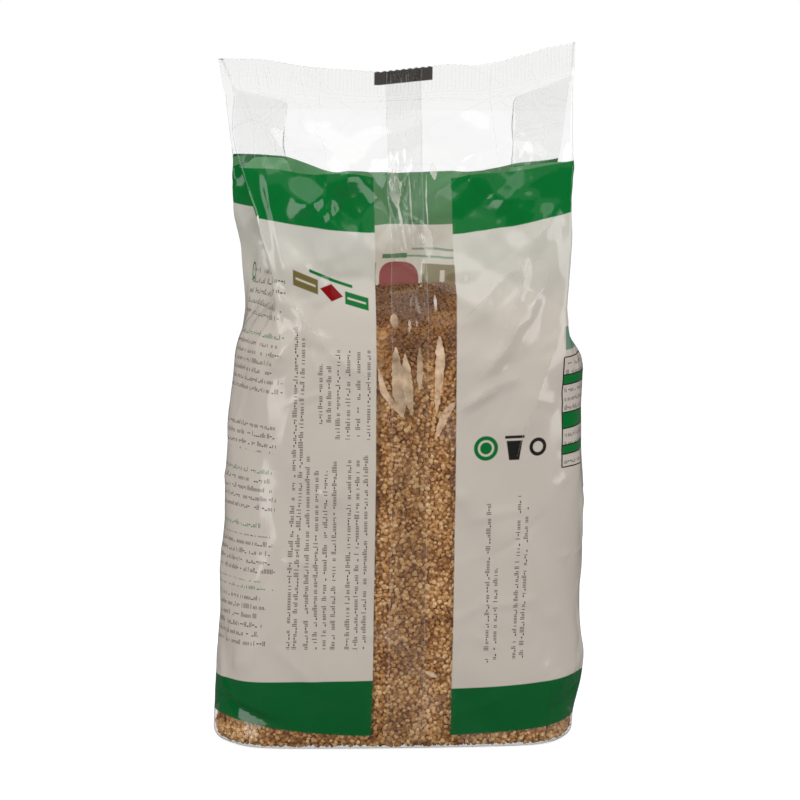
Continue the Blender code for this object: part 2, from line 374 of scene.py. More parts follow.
def relief(girth, height):
    """How far the film stands in from its section: dents in the sugar, and the pinches near the base."""
    inward = np.zeros_like(girth)
    for depth, wide, high, shift in DENTS:
        phase = 2 * math.pi * (girth / wide + height / high) + shift
        inward += depth * np.sin(phase) * math.sin(2 * math.pi * height / high + shift)
    inward *= smooth_step(height, 0, DENTS_FROM) * smooth_step(height, DENTS_TO, DENTS_TO - DENTS_FROM)
    for start, end in PINCHES:
        below, strength = along_pinch(girth, height, start, end)
        tuck = smooth_step(below, -PINCH_LIP, PINCH_LIP) * np.exp(-np.maximum(below, 0) / PINCH_REACH)
        inward += PINCH_DEPTH * strength * tuck * smooth_step(height, 0, 2 * BASE_RADIUS)
    return inward


def outward(points):
    """The direction out of a closed line of points, level and square to it."""
    tangent = np.roll(points, -1, axis=0) - np.roll(points, 1, axis=0)
    normal = np.stack([tangent[:, 1], -tangent[:, 0]], axis=1)
    return normal / np.linalg.norm(normal, axis=1, keepdims=True)


def section(height):
    """The film's section at a height, as a point for every millimetre of girth."""
    depth = max(float(eased(height, HALF_DEPTH)), SEAL_HALF_THICKNESS)
    left_near, left_fold, left_far = side(height, LEFT_NEAR_EDGE, LEFT_FAR_EDGE, LEFT_FOLD, depth)
    right_near, right_fold, right_far = side(height, RIGHT_NEAR_EDGE, RIGHT_FAR_EDGE, RIGHT_FOLD, depth)
    creases = -PANEL / 2 + np.cumsum([0, PANEL, GUSSET / 2, GUSSET / 2, PANEL, GUSSET / 2, GUSSET / 2])
    across = [-left_near, right_near, right_fold, right_far, -left_far, -left_fold, -left_near]
    along = [-depth, -depth, 0, depth, depth, 0, -depth]
    girth = -PANEL / 2 + np.arange(COLUMNS) * MM
    x, y = np.interp(girth, creases, across), np.interp(girth, creases, along)
    y -= eased(height, NEAR_BULGE) * crown((girth - creases[0]) / PANEL)
    y += eased(height, FAR_BULGE) * crown((girth - creases[3]) / PANEL)
    points = rounded(np.stack([x, y], axis=1), float(eased(height, ROUNDING)))
    wrapped = np.where(girth > GIRTH / 2, girth - GIRTH, girth)
    return points - outward(points) * relief(wrapped, height)[:, None]


def base_inset(height):
    """How far the film has drawn in where it turns under the base."""
    short = max(BASE_RADIUS - height, 0)
    return BASE_RADIUS - math.sqrt(BASE_RADIUS**2 - short**2)


def placed(points, height):
    """A section's points in space, with the waves and lifted sides of the empty top."""
    x, y = points.T
    loose = smooth_step(height, HEADER_START, HEADER_FULL)
    left = LEFT_RISE * smooth_step(-x, LEFT_RISE_FROM, LEFT_RISE_TO)
    right = RIGHT_RISE * (np.maximum(x, 0) / (PANEL / 2)) ** 2
    corner = smooth_step(x, CORNER_FROM, PANEL / 2) * smooth_step(height, CORNER_START, FILM_HEIGHT)
    wave = loose * TOP_WAVE * np.sin(2 * math.pi * (x + WAVE_SHIFT) / WAVE_LENGTH)
    return np.stack([x, y + wave, height + loose * (left + right) + CORNER_LIFT * corner], axis=1)


def film_ring(height):
    """The film's closed line of points at a height."""
    points = section(height)
    reach = np.abs(points).max(axis=0)
    return placed(points * (1 - base_inset(height) / reach), height)


def film_heights():
    """Heights of the film's rings, a millimetre apart above the turn of the base."""
    under = BASE_RADIUS * (1 - np.cos(np.linspace(0, math.pi / 2, 7)))
    return np.concatenate([under, np.arange(4.5, FILM_HEIGHT / MM + 0.1, 1) * MM, [FILM_HEIGHT]])


def girth_along(grid):
    """Each point's distance along the film from the print's middle line, 0 in front."""
    girth = np.arange(COLUMNS) * MM
    front = slice(0, PANEL_COLUMNS + 1)
    back = slice(COLUMNS // 2, COLUMNS // 2 + PANEL_COLUMNS + 1)
    weight = smooth_step(girth % (GIRTH / 2), PANEL, PANEL + GUSSET)
    weight = np.where(girth < GIRTH / 2, weight, 1 - weight)
    u = np.zeros(grid.shape[:2])
    for row, ring in enumerate(grid):
        steps = np.linalg.norm(np.roll(ring, -1, axis=0) - ring, axis=1)
        along = np.concatenate([[0], np.cumsum(steps)])
        total, along = along[-1], along[:-1]
        near = np.interp(PRINT_MIDDLE, ring[front, 0], along[front])
        far = np.interp(-PRINT_MIDDLE, -ring[back, 0], along[back])
        after_far = along > far
        from_near = np.where(after_far, along - total, along) - near
        from_far = np.where(after_far, along - far - GIRTH / 2, along - far + GIRTH / 2)
        u[row] = from_near * (1 - weight) + from_far * weight
    return u


def print_height(grid, heights):
    """Each point's height on the flat print, which is dragged down where the bag's sides bulge."""
    reach = np.clip(np.abs(grid[..., 0]) / (PANEL / 2), 0, 1.15) ** PRINT_DRAG_POWER
    left = share(heights, PRINT_DRAG_LEFT)[:, None] * MM
    right = share(heights, PRINT_DRAG_RIGHT)[:, None] * MM
    drag = np.where(grid[..., 0] < 0, left, right) * reach
    return heights[:, None] - drag


def grid_normals(grid):
    """Directions out of the film at each point of a grid whose rows are closed."""
    along = np.roll(grid, -1, axis=1) - np.roll(grid, 1, axis=1)
    up = np.gradient(grid, axis=0)
    normals = np.cross(along, up)
    return normals / np.linalg.norm(normals, axis=2, keepdims=True)


def wrapped(distance):
    """A distance round the bag, taken the shorter way."""
    return (distance + HALF_GIRTH) % (2 * HALF_GIRTH) - HALF_GIRTH


def add_crease(relief_map, u, v, path, height, width):
    """Adds a sharp ridge along a path on the flat film, tapered to nothing at its ends."""
    path = np.array(path, float)
    middle = path.mean(axis=0)
    reach = np.abs(path - middle).max() + width
    across, up = wrapped(u - middle[0]), v - middle[1]
    spot = (np.abs(across) < reach) & (np.abs(up) < reach)
    across, up = across[spot], up[spot]
    nearest = np.full(across.shape, np.inf)
    along = np.zeros(across.shape)
    done = 0
    for start, end in zip(path - middle, path[1:] - middle):
        run = end - start
        length = np.hypot(*run)
        t = np.clip(((across - start[0]) * run[0] + (up - start[1]) * run[1]) / length**2, 0, 1)
        gap = np.hypot(across - start[0] - t * run[0], up - start[1] - t * run[1])
        along = np.where(gap < nearest, done + t * length, along)
        nearest = np.minimum(gap, nearest)
        done += length
    ends = smooth_step(along, 0, 0.3 * done) * smooth_step(along, done, 0.7 * done)
    relief_map[spot] += height * ends * np.clip(1 - nearest / width, 0, None)


def add_lap(relief_map, u, v, path, height, width):
    """Adds a fold that slopes up from the right and drops steeply on the left of a path."""
    path = np.array(path, float)
    order = np.argsort(path[:, 1])
    middle = np.interp(v, path[order, 1], path[order, 0])
    low, high = path[:, 1].min(), path[:, 1].max()
    run = high - low
    ends = smooth_step(v, low, low + 0.25 * run) * smooth_step(v, high, high - 0.25 * run)
    right = wrapped(u - middle)
    ramp = np.where(right > 0, 1 - right / width, 1 + right / LAP_EDGE)
    relief_map += height * ends * np.clip(ramp, 0, None)


def facets(u, v, random):
    """Flat facets with straight creases between them, from warped waves with straight sides."""
    total = np.zeros_like(u)
    for length, slope in FACETS:
        for turn in (-1, 1):
            angle = turn * random.uniform(0.35, 1.1)
            count = round(2 * HALF_GIRTH * math.cos(angle) / length)
            warp = np.sin(2 * math.pi * (u / HALF_GIRTH + v / 53) + random.uniform(0, 6)) * 0.16
            phase = count * u / (2 * HALF_GIRTH) + v * math.sin(angle) / length + warp
            phase += random.uniform(0, 1)
            total += slope * length / 4 * (2 * np.abs(2 * (phase - np.floor(phase + 0.5))) - 1)
    strength = FACETS_ON_SUGAR + (1 - FACETS_ON_SUGAR) * smooth_step(v, FACETS_FROM, FACETS_TO)
    for crease in FACETS_CALM_AT:
        strength = strength * (1 - FACETS_CALMED * np.exp(-((np.abs(u) - crease) / FACETS_CALM) ** 2))
    return total * strength


def random_path(random, low, high, lengths):
    """A slightly bent crease somewhere on the film between two heights."""
    middle = np.array([random.uniform(-HALF_GIRTH, HALF_GIRTH), random.uniform(low, high)])
    angle = random.uniform(0, math.pi)
    half = random.uniform(*lengths) / 2 * np.array([math.cos(angle), math.sin(angle)])
    bend = random.uniform(-0.12, 0.12) * np.array([-half[1], half[0]])
    return [middle - half, middle + bend, middle + half]


def film_relief(u, v, heights):
    """How far creases and facets lift each point of the film off its smooth form, in metres."""
    random = np.random.default_rng(CREASE_SEED)
    lift = np.zeros_like(u)
    for height, width, path in SHOWN_CREASES:
        add_crease(lift, u, v, path, height, width)
    for count, low, high, lengths, widths, rises, inward in CREASE_KINDS:
        for _ in range(count):
            path = random_path(random, low, high, lengths)
            rise = random.uniform(*rises) * (-1 if random.random() < inward else 1)
            add_crease(lift, u, v, path, rise, random.uniform(*widths))
    add_lap(lift, u, v, LAP_PATH, LAP_HEIGHT, LAP_WIDTH)
    lift += facets(u, v, random)
    free = smooth_step(heights, SUGAR_LEVEL - 5 * MM, SUGAR_LEVEL + 15 * MM)[:, None]
    lift = np.maximum(lift, -SUGAR_PRESS - 2 * free)
    room = np.clip(eased(heights, HALF_DEPTH) / FREE_DEPTH, 0, 1)[:, None]
    room = room * smooth_step(heights, SEAL_BOTTOM, SEAL_BOTTOM - 8 * MM)[:, None]
    return lift * room * smooth_step(heights, 0, 2 * BASE_RADIUS)[:, None] * MM


def edge_lift(x, heights):
    """How much higher the top of the bag is where its cut edge waves."""
    places, lifts = np.array(EDGE_LIFT).T * MM
    return np.interp(x, places, lifts) * smooth_step(heights, EDGE_LIFT_FROM, FILM_HEIGHT)[:, None]


def far_rise(x, v):
    """How much higher the print stands on the gussets and the face behind, in millimetres."""
    behind = smooth_step(np.abs(wrapped(-PANEL / 2 / MM + np.arange(COLUMNS))), *FAR_RISE_U)
    rise = FAR_RISE + (FAR_RISE_LEFT - FAR_RISE) * smooth_step(-x, *FAR_RISE_X)
    return behind * rise * smooth_step(v, *FAR_RISE_V)


class Film:
    """The film's smooth and creased points, with the place of each on the flat print in millimetres."""

    def __init__(self):
        self.heights = film_heights()
        self.smooth = np.array([film_ring(height) for height in self.heights])
        self.normals = grid_normals(self.smooth)
        self.u = girth_along(self.smooth) / MM
        self.v = print_height(self.smooth, self.heights) / MM
        lift = film_relief(self.u, self.v, self.heights)
        self.points = self.smooth + self.normals * lift[..., None]
        self.points[..., 2] += edge_lift(self.smooth[..., 0], self.heights)
        self.v -= far_rise(self.smooth[..., 0], self.v)

    def at(self, places):
        """Points and normals of the film at places given as (u, v)."""
        points, normals = [], []
        for u, v in places:
            off_u, off_v = wrapped(self.u - u), self.v - v
            row, column = np.unravel_index(np.argmin(off_u**2 + off_v**2), off_u.shape)
            row = min(max(row, 1), len(self.heights) - 2)
            before, after = (column - 1) % COLUMNS, (column + 1) % COLUMNS
            slopes = np.array([
                [off_u[row, after] - off_u[row, before], off_u[row + 1, column] - off_u[row - 1, column]],
                [off_v[row, after] - off_v[row, before], off_v[row + 1, column] - off_v[row - 1, column]],
            ])
            across, up = np.linalg.solve(slopes, -np.array([off_u[row, column], off_v[row, column]]))
            beside = self.points[row, after] - self.points[row, before]
            above = self.points[row + 1, column] - self.points[row - 1, column]
            points.append(self.points[row, column] + across * beside + up * above)
            normals.append(self.normals[row, column])
        return np.array(points), np.array(normals)

    def row_at_print_height(self, v):
        """Points, normals and u along the line where the print's height is v."""
        found = np.array([
            [np.interp(v, self.v[:, c], layer[:, c]) for layer in self.layers()] for c in range(COLUMNS)
        ])
        return found[:, 0:3], found[:, 3:6], found[:, 6]

    def layers(self):
        """The points' and normals' coordinates and u, as seven grids."""
        return [*np.moveaxis(self.points, 2, 0), *np.moveaxis(self.normals, 2, 0), self.u]

    def along_front(self, row, places):
        """Points, normals and v of the shown face at places of u in one row."""
        front = slice(0, PANEL_COLUMNS + 1)
        values = np.concatenate([self.points[row], self.normals[row], self.v[row][:, None]], axis=1)[front]
        found = np.stack([np.interp(places, self.u[row, front], value) for value in values.T], axis=1)
        return found[:, 0:3], found[:, 3:6], found[:, 6]


def closed_faces(rows, columns):
    """Quads of a grid whose rows are closed lines, numbered row by row."""
    lower = np.arange((rows - 1) * columns).reshape(rows - 1, columns)
    beside = np.roll(lower, -1, axis=1)
    return np.stack([lower, beside, beside + columns, lower + columns], axis=2).reshape(-1, 4)


def capped(faces, rows, columns):
    """The same faces with the last row's and the first row's openings closed."""
    return [*faces.tolist(), np.arange(columns)[::-1], (rows - 1) * columns + np.arange(columns)]


def make_object(name, points, faces, material, places=None, smooth=True):
    """A mesh object, with its places on the flat print as a UV map."""
    mesh = bpy.data.meshes.new(name)
    mesh.from_pydata(np.asarray(points).tolist(), [], [list(map(int, face)) for face in faces])
    if places is not None:
        corners = np.array([loop.vertex_index for loop in mesh.loops])
        starts = np.repeat([polygon.loop_start for polygon in mesh.polygons],
                           [polygon.loop_total for polygon in mesh.polygons])
        flat = np.array(places)[corners]
        first = flat[starts, 0]
        flat[:, 0] = first + wrapped(flat[:, 0] - first)
        mesh.uv_layers.new(name=FLAT_FILM).data.foreach_set("uv", flat.astype(np.float32).ravel())
    if smooth:
        mesh.shade_smooth()
    mesh.materials.append(material)
    mesh.validate()
    obj = bpy.data.objects.new(name, mesh)
    bpy.context.scene.collection.objects.link(obj)
    return obj


def make_film(film, material):
    """The whole bag: a base drawn in to its middle, the sides, and the toothed cut edge of the top seal."""
    rim = film.points[0]
    middle = rim.mean(axis=0)
    shares = np.linspace(0, 1, BASE_RINGS + 1)[:-1]
    base = np.array([middle + (rim - middle) * amount for amount in np.maximum(shares, 0.02)])
    base_u = np.repeat(film.u[:1], BASE_RINGS, axis=0)
    base_v = film.v[:1] - (1 - shares)[:, None] * np.abs(rim[:, 1]) / MM
    grid = np.concatenate([base, film.points])
    grid[-1, ::2, 2] += TOOTH
    grid[-1, 1::2, 2] -= TOOTH
    places = np.stack([np.concatenate([base_u, film.u]), np.concatenate([base_v, film.v])], axis=2)
    rows = len(grid)
    faces = closed_faces(rows, COLUMNS).tolist()
    top = (rows - 1) * COLUMNS + np.arange(COLUMNS + 1)
    top[-1] = top[0]
    near = top[: PANEL_COLUMNS + 1]
    far = top[COLUMNS // 2 : COLUMNS // 2 + PANEL_COLUMNS + 1][::-1]
    faces += [(near[i], near[i + 1], far[i + 1], far[i]) for i in range(PANEL_COLUMNS)]
    faces.append(top[PANEL_COLUMNS : COLUMNS // 2 + 1])
    faces.append(top[COLUMNS // 2 + PANEL_COLUMNS :])
    faces.append(np.arange(COLUMNS)[::-1])
    obj = make_object("film", grid.reshape(-1, 3), faces, material, places.reshape(-1, 2))
    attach(obj, "root")
    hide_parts("pouch")


def make_liner(film, material):
    """The inner face of the print, above the sugar, with the clear window left out."""
    rows = []
    levels = np.arange(LINER_V[0], LINER_V[1] + 0.01, (LINER_V[1] - LINER_V[0]) / 52)
    places = []
    for v in levels:
        points, normals, u = film.row_at_print_height(v)
        rows.append(points - normals * LINER_GAP)
        places.append(np.stack([u, np.full(COLUMNS, v)], axis=1))
    faces = closed_faces(len(rows), COLUMNS)[:, ::-1]
    u = np.concatenate(places)[:, 0]
    printed = (np.abs(u[faces]) > WINDOW_HALF).all(axis=1)
    obj = make_object("liner", np.concatenate(rows), faces[printed], material, np.concatenate(places))
    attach(obj, "root")


def strip_crumple(u, v):
    """How far the back seal's film stands off in upright crumples, in metres."""
    lift = np.zeros_like(u)
    for middle, spread, height in STRIP_CRUMPLES:
        strength = np.exp(-(((v - middle) / spread) ** 2))
        wander = 1.6 * np.sin(v / 7.3 + middle) + 0.9 * np.sin(v / 3.1)
        lift += height * strength * np.abs(np.sin((u + wander) * 1.15))
    random = np.random.default_rng(CREASE_SEED)
    count, across, up, lengths, widths, heights = STRIP_CREASES
    for _ in range(count):
        middle = np.array([random.uniform(*across), random.uniform(*up)])
        angle = random.uniform(0.9, 2.2)
        half = random.uniform(*lengths) / 2 * np.array([math.cos(angle), math.sin(angle)])
        path = [middle - half, middle, middle + half]
        add_crease(lift, u, v, path, random.uniform(*heights), random.uniform(*widths))
    ends = smooth_step(v, STRIP_V[1], STRIP_V[1] - 14)
    return lift * ends * MM


def make_strip(film, material):
    """The back seal as a thin closed band laid on the film."""
    places = np.arange(STRIP_U[0], STRIP_U[1] + 0.01, STRIP_STEP)
    inner, outward_ways, flat = [], [], []
    for row in range(len(film.heights)):
        points, normals, v = film.along_front(row, places)
        if not STRIP_V[0] <= v[0] <= STRIP_V[1]:
            continue
        inner.append(points + normals * STRIP_GAP)
        outward_ways.append(normals)
        flat.append(np.stack([places, v], axis=1))
    flat = np.array(flat)
    lift = strip_crumple(flat[..., 0], flat[..., 1])[..., None] * outward_ways
    inner = np.array(inner) + lift
    from_edge = np.minimum(places - places[0], places[-1] - places)
    thickness = STRIP_THICKNESS * np.clip(from_edge / STRIP_TAPER, 0.1, 1)
    outer = inner + np.array(outward_ways) * thickness[:, None]
    loops = np.concatenate([outer, inner[:, ::-1]], axis=1)
    flat_loops = np.concatenate([flat, flat[:, ::-1]], axis=1)
    rows, columns = loops.shape[:2]
    faces = capped(closed_faces(rows, columns), rows, columns)
    obj = make_object("back_seal", loops.reshape(-1, 3), faces, material, flat_loops.reshape(-1, 2))
    obj.data.set_sharp_from_angle(angle=math.radians(55))
    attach(obj, "root")


def make_sheen_patches(film, material):
    """The painted sheen: milky patches and lines, painted reflections and highlights, each a leaf-shaped
    sheet just outside the film.
    """
    random = np.random.default_rng(PATCH_SEED)
    points, faces, sheen_amount = [], [], []
    lines = [(*FOLD_SHEEN, path) for path in FOLD_LINES]
    lines += [(*CREASE_HIGHLIGHT, path) for _, _, path in SHOWN_CREASES if path[0][1] < UPPER_BAND[0]]
    for half_width, milky, path in PAINTED_SHEEN_PATCHES + lines:
        path = np.array(path, float)
        sheen_amount += [milky] * (2 * PATCH_STEPS)
        along = np.linspace(0, 1, len(path))
        steps = np.linspace(0, 1, PATCH_STEPS)
        line = np.stack([np.interp(steps, along, path[:, k]) for k in (0, 1)], axis=1)
        run = np.gradient(line, axis=0)
        beside = np.stack([run[:, 1], -run[:, 0]], axis=1) / np.linalg.norm(run, axis=1, keepdims=True)
        width = half_width * np.sin(math.pi * np.clip(steps, 0.02, 0.98)) ** 0.6
        first = sum(len(group) for group in points)
        for sign in (1, -1):
            ragged = width * random.uniform(*PATCH_RAGGED, PATCH_STEPS)
            places, normals = film.at(line + sign * beside * ragged[:, None])
            points.append(places + normals * PATCH_GAP)
        for k in range(PATCH_STEPS - 1):
            faces.append((first + k, first + PATCH_STEPS + k, first + PATCH_STEPS + k + 1, first + k + 1))
    obj = make_object("painted_sheen_patches", np.concatenate(points), faces, material)
    obj.data.attributes.new("sheen_amount", "FLOAT", "POINT").data.foreach_set("value", sheen_amount)
    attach(obj, "root")


def waves(random, count, lengths):
    """Plane waves with random directions, as rows of (x, y, z, shift)."""
    directions = random.normal(size=(count, 3))
    directions /= np.linalg.norm(directions, axis=1, keepdims=True)
    numbers = 2 * math.pi / random.uniform(*lengths, size=count)
    return np.concatenate([directions * numbers[:, None], random.uniform(0, 6.3, (count, 1))], axis=1)


def lumps(points, wave_rows):
    """A smooth random field from -1 to 1."""
    total = sum(np.sin(points @ row[:3] + row[3]) for row in wave_rows)
    return total / len(wave_rows) * 1.7


def sugar_level(x, y):
    """Height of the sugar's top at a place, higher towards the back and a little heaped."""
    random = np.random.default_rng(GRAIN_SEED)
    heap = lumps(np.stack([x, y, np.zeros_like(x)], axis=-1), waves(random, 9, (9 * MM, 34 * MM)))
    return SUGAR_LEVEL + SUGAR_SLOPE * y + LUMP * heap


class Sugar:
    """The heap of sugar in the bag: its sides from the floor to its level, and its top."""

    def __init__(self, film):
        inner = film.smooth - film.normals * SUGAR_GAP
        inner[..., 2] = np.maximum(inner[..., 2], SUGAR_FLOOR)
        self.sides = np.zeros((SUGAR_RINGS, COLUMNS, 3))
        shares = np.linspace(0, 1, SUGAR_RINGS)
        for c in range(COLUMNS):
            x, y, z = inner[:, c].T
            level = sugar_level(x, y)
            top = z[np.argmax(z > level)]
            wanted = SUGAR_FLOOR + shares * (top - SUGAR_FLOOR)
            self.sides[:, c] = np.stack([np.interp(wanted, z, x), np.interp(wanted, z, y), wanted], axis=1)
        self.rim = self.sides[-1]
        self.middle = self.rim.mean(axis=0)

    def surface(self):
        """All rings of the heap, from the middle of its underside round to the middle of its top."""
        floor = self.sides[0]
        base_middle = floor.mean(axis=0)
        base = [base_middle + (floor - base_middle) * amount for amount in np.linspace(0.03, 1, 12)[:-1]]
        top = []
        for amount in np.linspace(1, 0.02, TOP_RINGS)[1:]:
            ring = self.middle + (self.rim - self.middle) * amount
            ring[:, 2] = sugar_level(ring[:, 0], ring[:, 1])
            top.append(ring)
        return np.concatenate([base, self.sides, top])


def make_core(sugar, material):
    """The heap itself, with its lumps as relief."""
    random = np.random.default_rng(GRAIN_SEED + 1)
    grid = sugar.surface()
    points = grid.reshape(-1, 3)
    normals = grid_normals(grid).reshape(-1, 3)
    clumps = lumps(points, waves(random, 14, (2.4 * MM, 6 * MM)))
    lift = CORE_RELIEF * (clumps - 1)
    points = points + normals * lift[:, None]
    points[:, 2] = np.maximum(points[:, 2], SUGAR_FLOOR)
    rows = len(grid)
    faces = capped(closed_faces(rows, COLUMNS), rows, COLUMNS)
    obj = make_object("sugar", points, faces, material)
    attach(obj, "root")


def grain_shapes(random):
    """Blocky crystals: twelve-cornered solids squeezed and jittered at random."""
    golden = (1 + math.sqrt(5)) / 2
    corners = np.array([
        (-1, golden, 0), (1, golden, 0), (-1, -golden, 0), (1, -golden, 0),
        (0, -1, golden), (0, 1, golden), (0, -1, -golden), (0, 1, -golden),
        (golden, 0, -1), (golden, 0, 1), (-golden, 0, -1), (-golden, 0, 1),
    ]) / math.hypot(1, golden)
    faces = np.array([
        (0, 11, 5), (0, 5, 1), (0, 1, 7), (0, 7, 10), (0, 10, 11),
        (1, 5, 9), (5, 11, 4), (11, 10, 2), (10, 7, 6), (7, 1, 8),
        (3, 9, 4), (3, 4, 2), (3, 2, 6), (3, 6, 8), (3, 8, 9),
        (4, 9, 5), (2, 4, 11), (6, 2, 10), (8, 6, 7), (9, 8, 1),
    ])
    boxed = np.sign(corners) * np.abs(corners) ** 0.7
    shapes = []
    for _ in range(GRAIN_SHAPES):
        squeeze = random.uniform(*GRAIN_SQUEEZE)
        shapes.append(boxed * squeeze * (1 + random.uniform(-GRAIN_UNEVEN, GRAIN_UNEVEN, (12, 3))))
    return np.array(shapes), faces


def random_turns(random, count):
    """Rotation matrices spread evenly over all directions."""
    q = random.normal(size=(count, 4))
    w, x, y, z = (q / np.linalg.norm(q, axis=1, keepdims=True)).T
    rows = [
        [1 - 2 * (y * y + z * z), 2 * (x * y - z * w), 2 * (x * z + y * w)],
        [2 * (x * y + z * w), 1 - 2 * (x * x + z * z), 2 * (y * z - x * w)],
        [2 * (x * z - y * w), 2 * (y * z + x * w), 1 - 2 * (x * x + y * y)],
    ]
    return np.moveaxis(np.array(rows), 2, 0)


def side_grains(sugar, columns, high, spacing, random):
    """Places of grains on the sides of the heap, scattered over some columns up to a height."""
    column, height = np.meshgrid(columns, np.arange(SUGAR_FLOOR + spacing / 2, high, spacing))
    column = np.round(column + random.uniform(-0.7, 0.7, column.shape)).astype(int) % COLUMNS
    height = height + random.uniform(-0.5, 0.5, height.shape) * spacing
    top = sugar.rim[column, 2]
    row = (height - SUGAR_FLOOR) / (top - SUGAR_FLOOR) * (SUGAR_RINGS - 1)
    places = sugar.sides[np.clip(np.round(row), 0, SUGAR_RINGS - 1).astype(int), column]
    places[..., 0] += random.uniform(-GRAIN_JITTER, GRAIN_JITTER, height.shape)
    places[..., 2] = np.maximum(height, SUGAR_FLOOR)
    return places[height < top]


def grain_places(sugar, random):
    """Middles of the loose grains that show: in the window, in the clear foot, on top and underneath."""
    first, last = WINDOW_COLUMNS
    window = np.arange(first, last, WINDOW_SPACING)
    foot = np.arange(last, COLUMNS + first, FOOT_SPACING)
    top = inside_rim(sugar.rim, TOP_SPACING, random)
    top[:, 2] = sugar_level(top[:, 0], top[:, 1])
    underside = inside_rim(sugar.sides[0], UNDERSIDE_SPACING, random)
    underside[:, 2] = SUGAR_FLOOR + 0.2 * MM
    return np.concatenate([
        side_grains(sugar, window, FILM_HEIGHT, WINDOW_SPACING * MM, random),
        side_grains(sugar, foot, FOOT_HEIGHT, FOOT_SPACING * MM, random),
        top,
        underside,
    ])


def inside_rim(rim, spacing, random):
    """A jittered grid of places inside a closed level line."""
    middle = rim.mean(axis=0)
    low, high = rim.min(axis=0), rim.max(axis=0)
    x, y = np.meshgrid(np.arange(low[0], high[0], spacing), np.arange(low[1], high[1], spacing))
    x = x.ravel() + random.uniform(-0.35, 0.35, x.size) * spacing
    y = y.ravel() + random.uniform(-0.35, 0.35, y.size) * spacing
    angle = np.arctan2(rim[:, 1] - middle[1], rim[:, 0] - middle[0])
    reach = np.hypot(rim[:, 1] - middle[1], rim[:, 0] - middle[0])
    order = np.argsort(angle)
    way = np.arctan2(y - middle[1], x - middle[0])
    limit = np.interp(way, angle[order], reach[order], period=2 * math.pi)
    keep = np.hypot(x - middle[0], y - middle[1]) < limit
    return np.stack([x[keep], y[keep], np.zeros(keep.sum())], axis=1)


def make_grains(sugar, material):
    """The loose grains on the sugar, each a small crystal of its own random tone, painted darker near the
    top of the heap as painted shade.
    """
    random = np.random.default_rng(GRAIN_SEED + 2)
    shapes, shape_faces = grain_shapes(random)
    middles = grain_places(sugar, random)
    count = len(middles)
    sizes = random.uniform(*GRAIN_SIZES, size=count)
    chosen = shapes[random.integers(0, GRAIN_SHAPES, count)]
    turned = np.einsum("nij,nkj->nki", random_turns(random, count), chosen)
    points = turned * sizes[:, None, None] + middles[:, None, :]
    points[..., 2] = np.maximum(points[..., 2], GRAIN_LOWEST)
    corners = shapes.shape[1]
    faces = shape_faces[None] + np.arange(count)[:, None, None] * corners
    obj = make_object("grains", points.reshape(-1, 3), faces.reshape(-1, 3), material, smooth=False)
    # Painted shade: the grains darken towards the top of the heap
    painted_shade = 1 - (1 - PAINTED_SHADE_TONE) * smooth_step(middles[:, 2], *PAINTED_SHADE_HEIGHTS)
    tone = np.repeat(random.uniform(0, 1, count) * painted_shade, corners)
    obj.data.attributes.new("tone", "FLOAT", "POINT").data.foreach_set("value", tone.astype(np.float32))
    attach(obj, "root")


def linear(red, green, blue):
    """A colour given as it looks on screen, from 0 to 255, as the shader's linear values."""
    screen = np.array([red, green, blue]) / 255
    light = np.where(screen <= 0.04045, screen / 12.92, ((screen + 0.055) / 1.055) ** 2.4)
    return (*light, 1.0)


FIELD = linear(214, 204, 192)
FIELD_LIT_THROUGH = linear(212, 209, 198)
GREEN = linear(0, 116, 48)
GREEN_BELOW = linear(0, 98, 44)
TEXT = linear(44, 40, 36)
BOLD_TEXT = linear(34, 31, 29)
RED = linear(140, 8, 12)
OLIVE = linear(120, 108, 58)
CREAM = linear(236, 224, 190)
EYE_MARK = linear(52, 44, 38)
EYE_BARS = linear(26, 21, 18)
WEDGE = linear(116, 152, 132)
INSIDE = linear(216, 212, 202)
# Colours of the painted sheen: white, and warmer where it lies over the sugar
SHEEN_WHITE = linear(250, 244, 234)
SHEEN_ON_SUGAR = linear(242, 212, 178)
SUGAR_DARK = linear(146, 88, 38)
SUGAR_MID = linear(214, 158, 92)
SUGAR_LIGHT = linear(250, 214, 160)


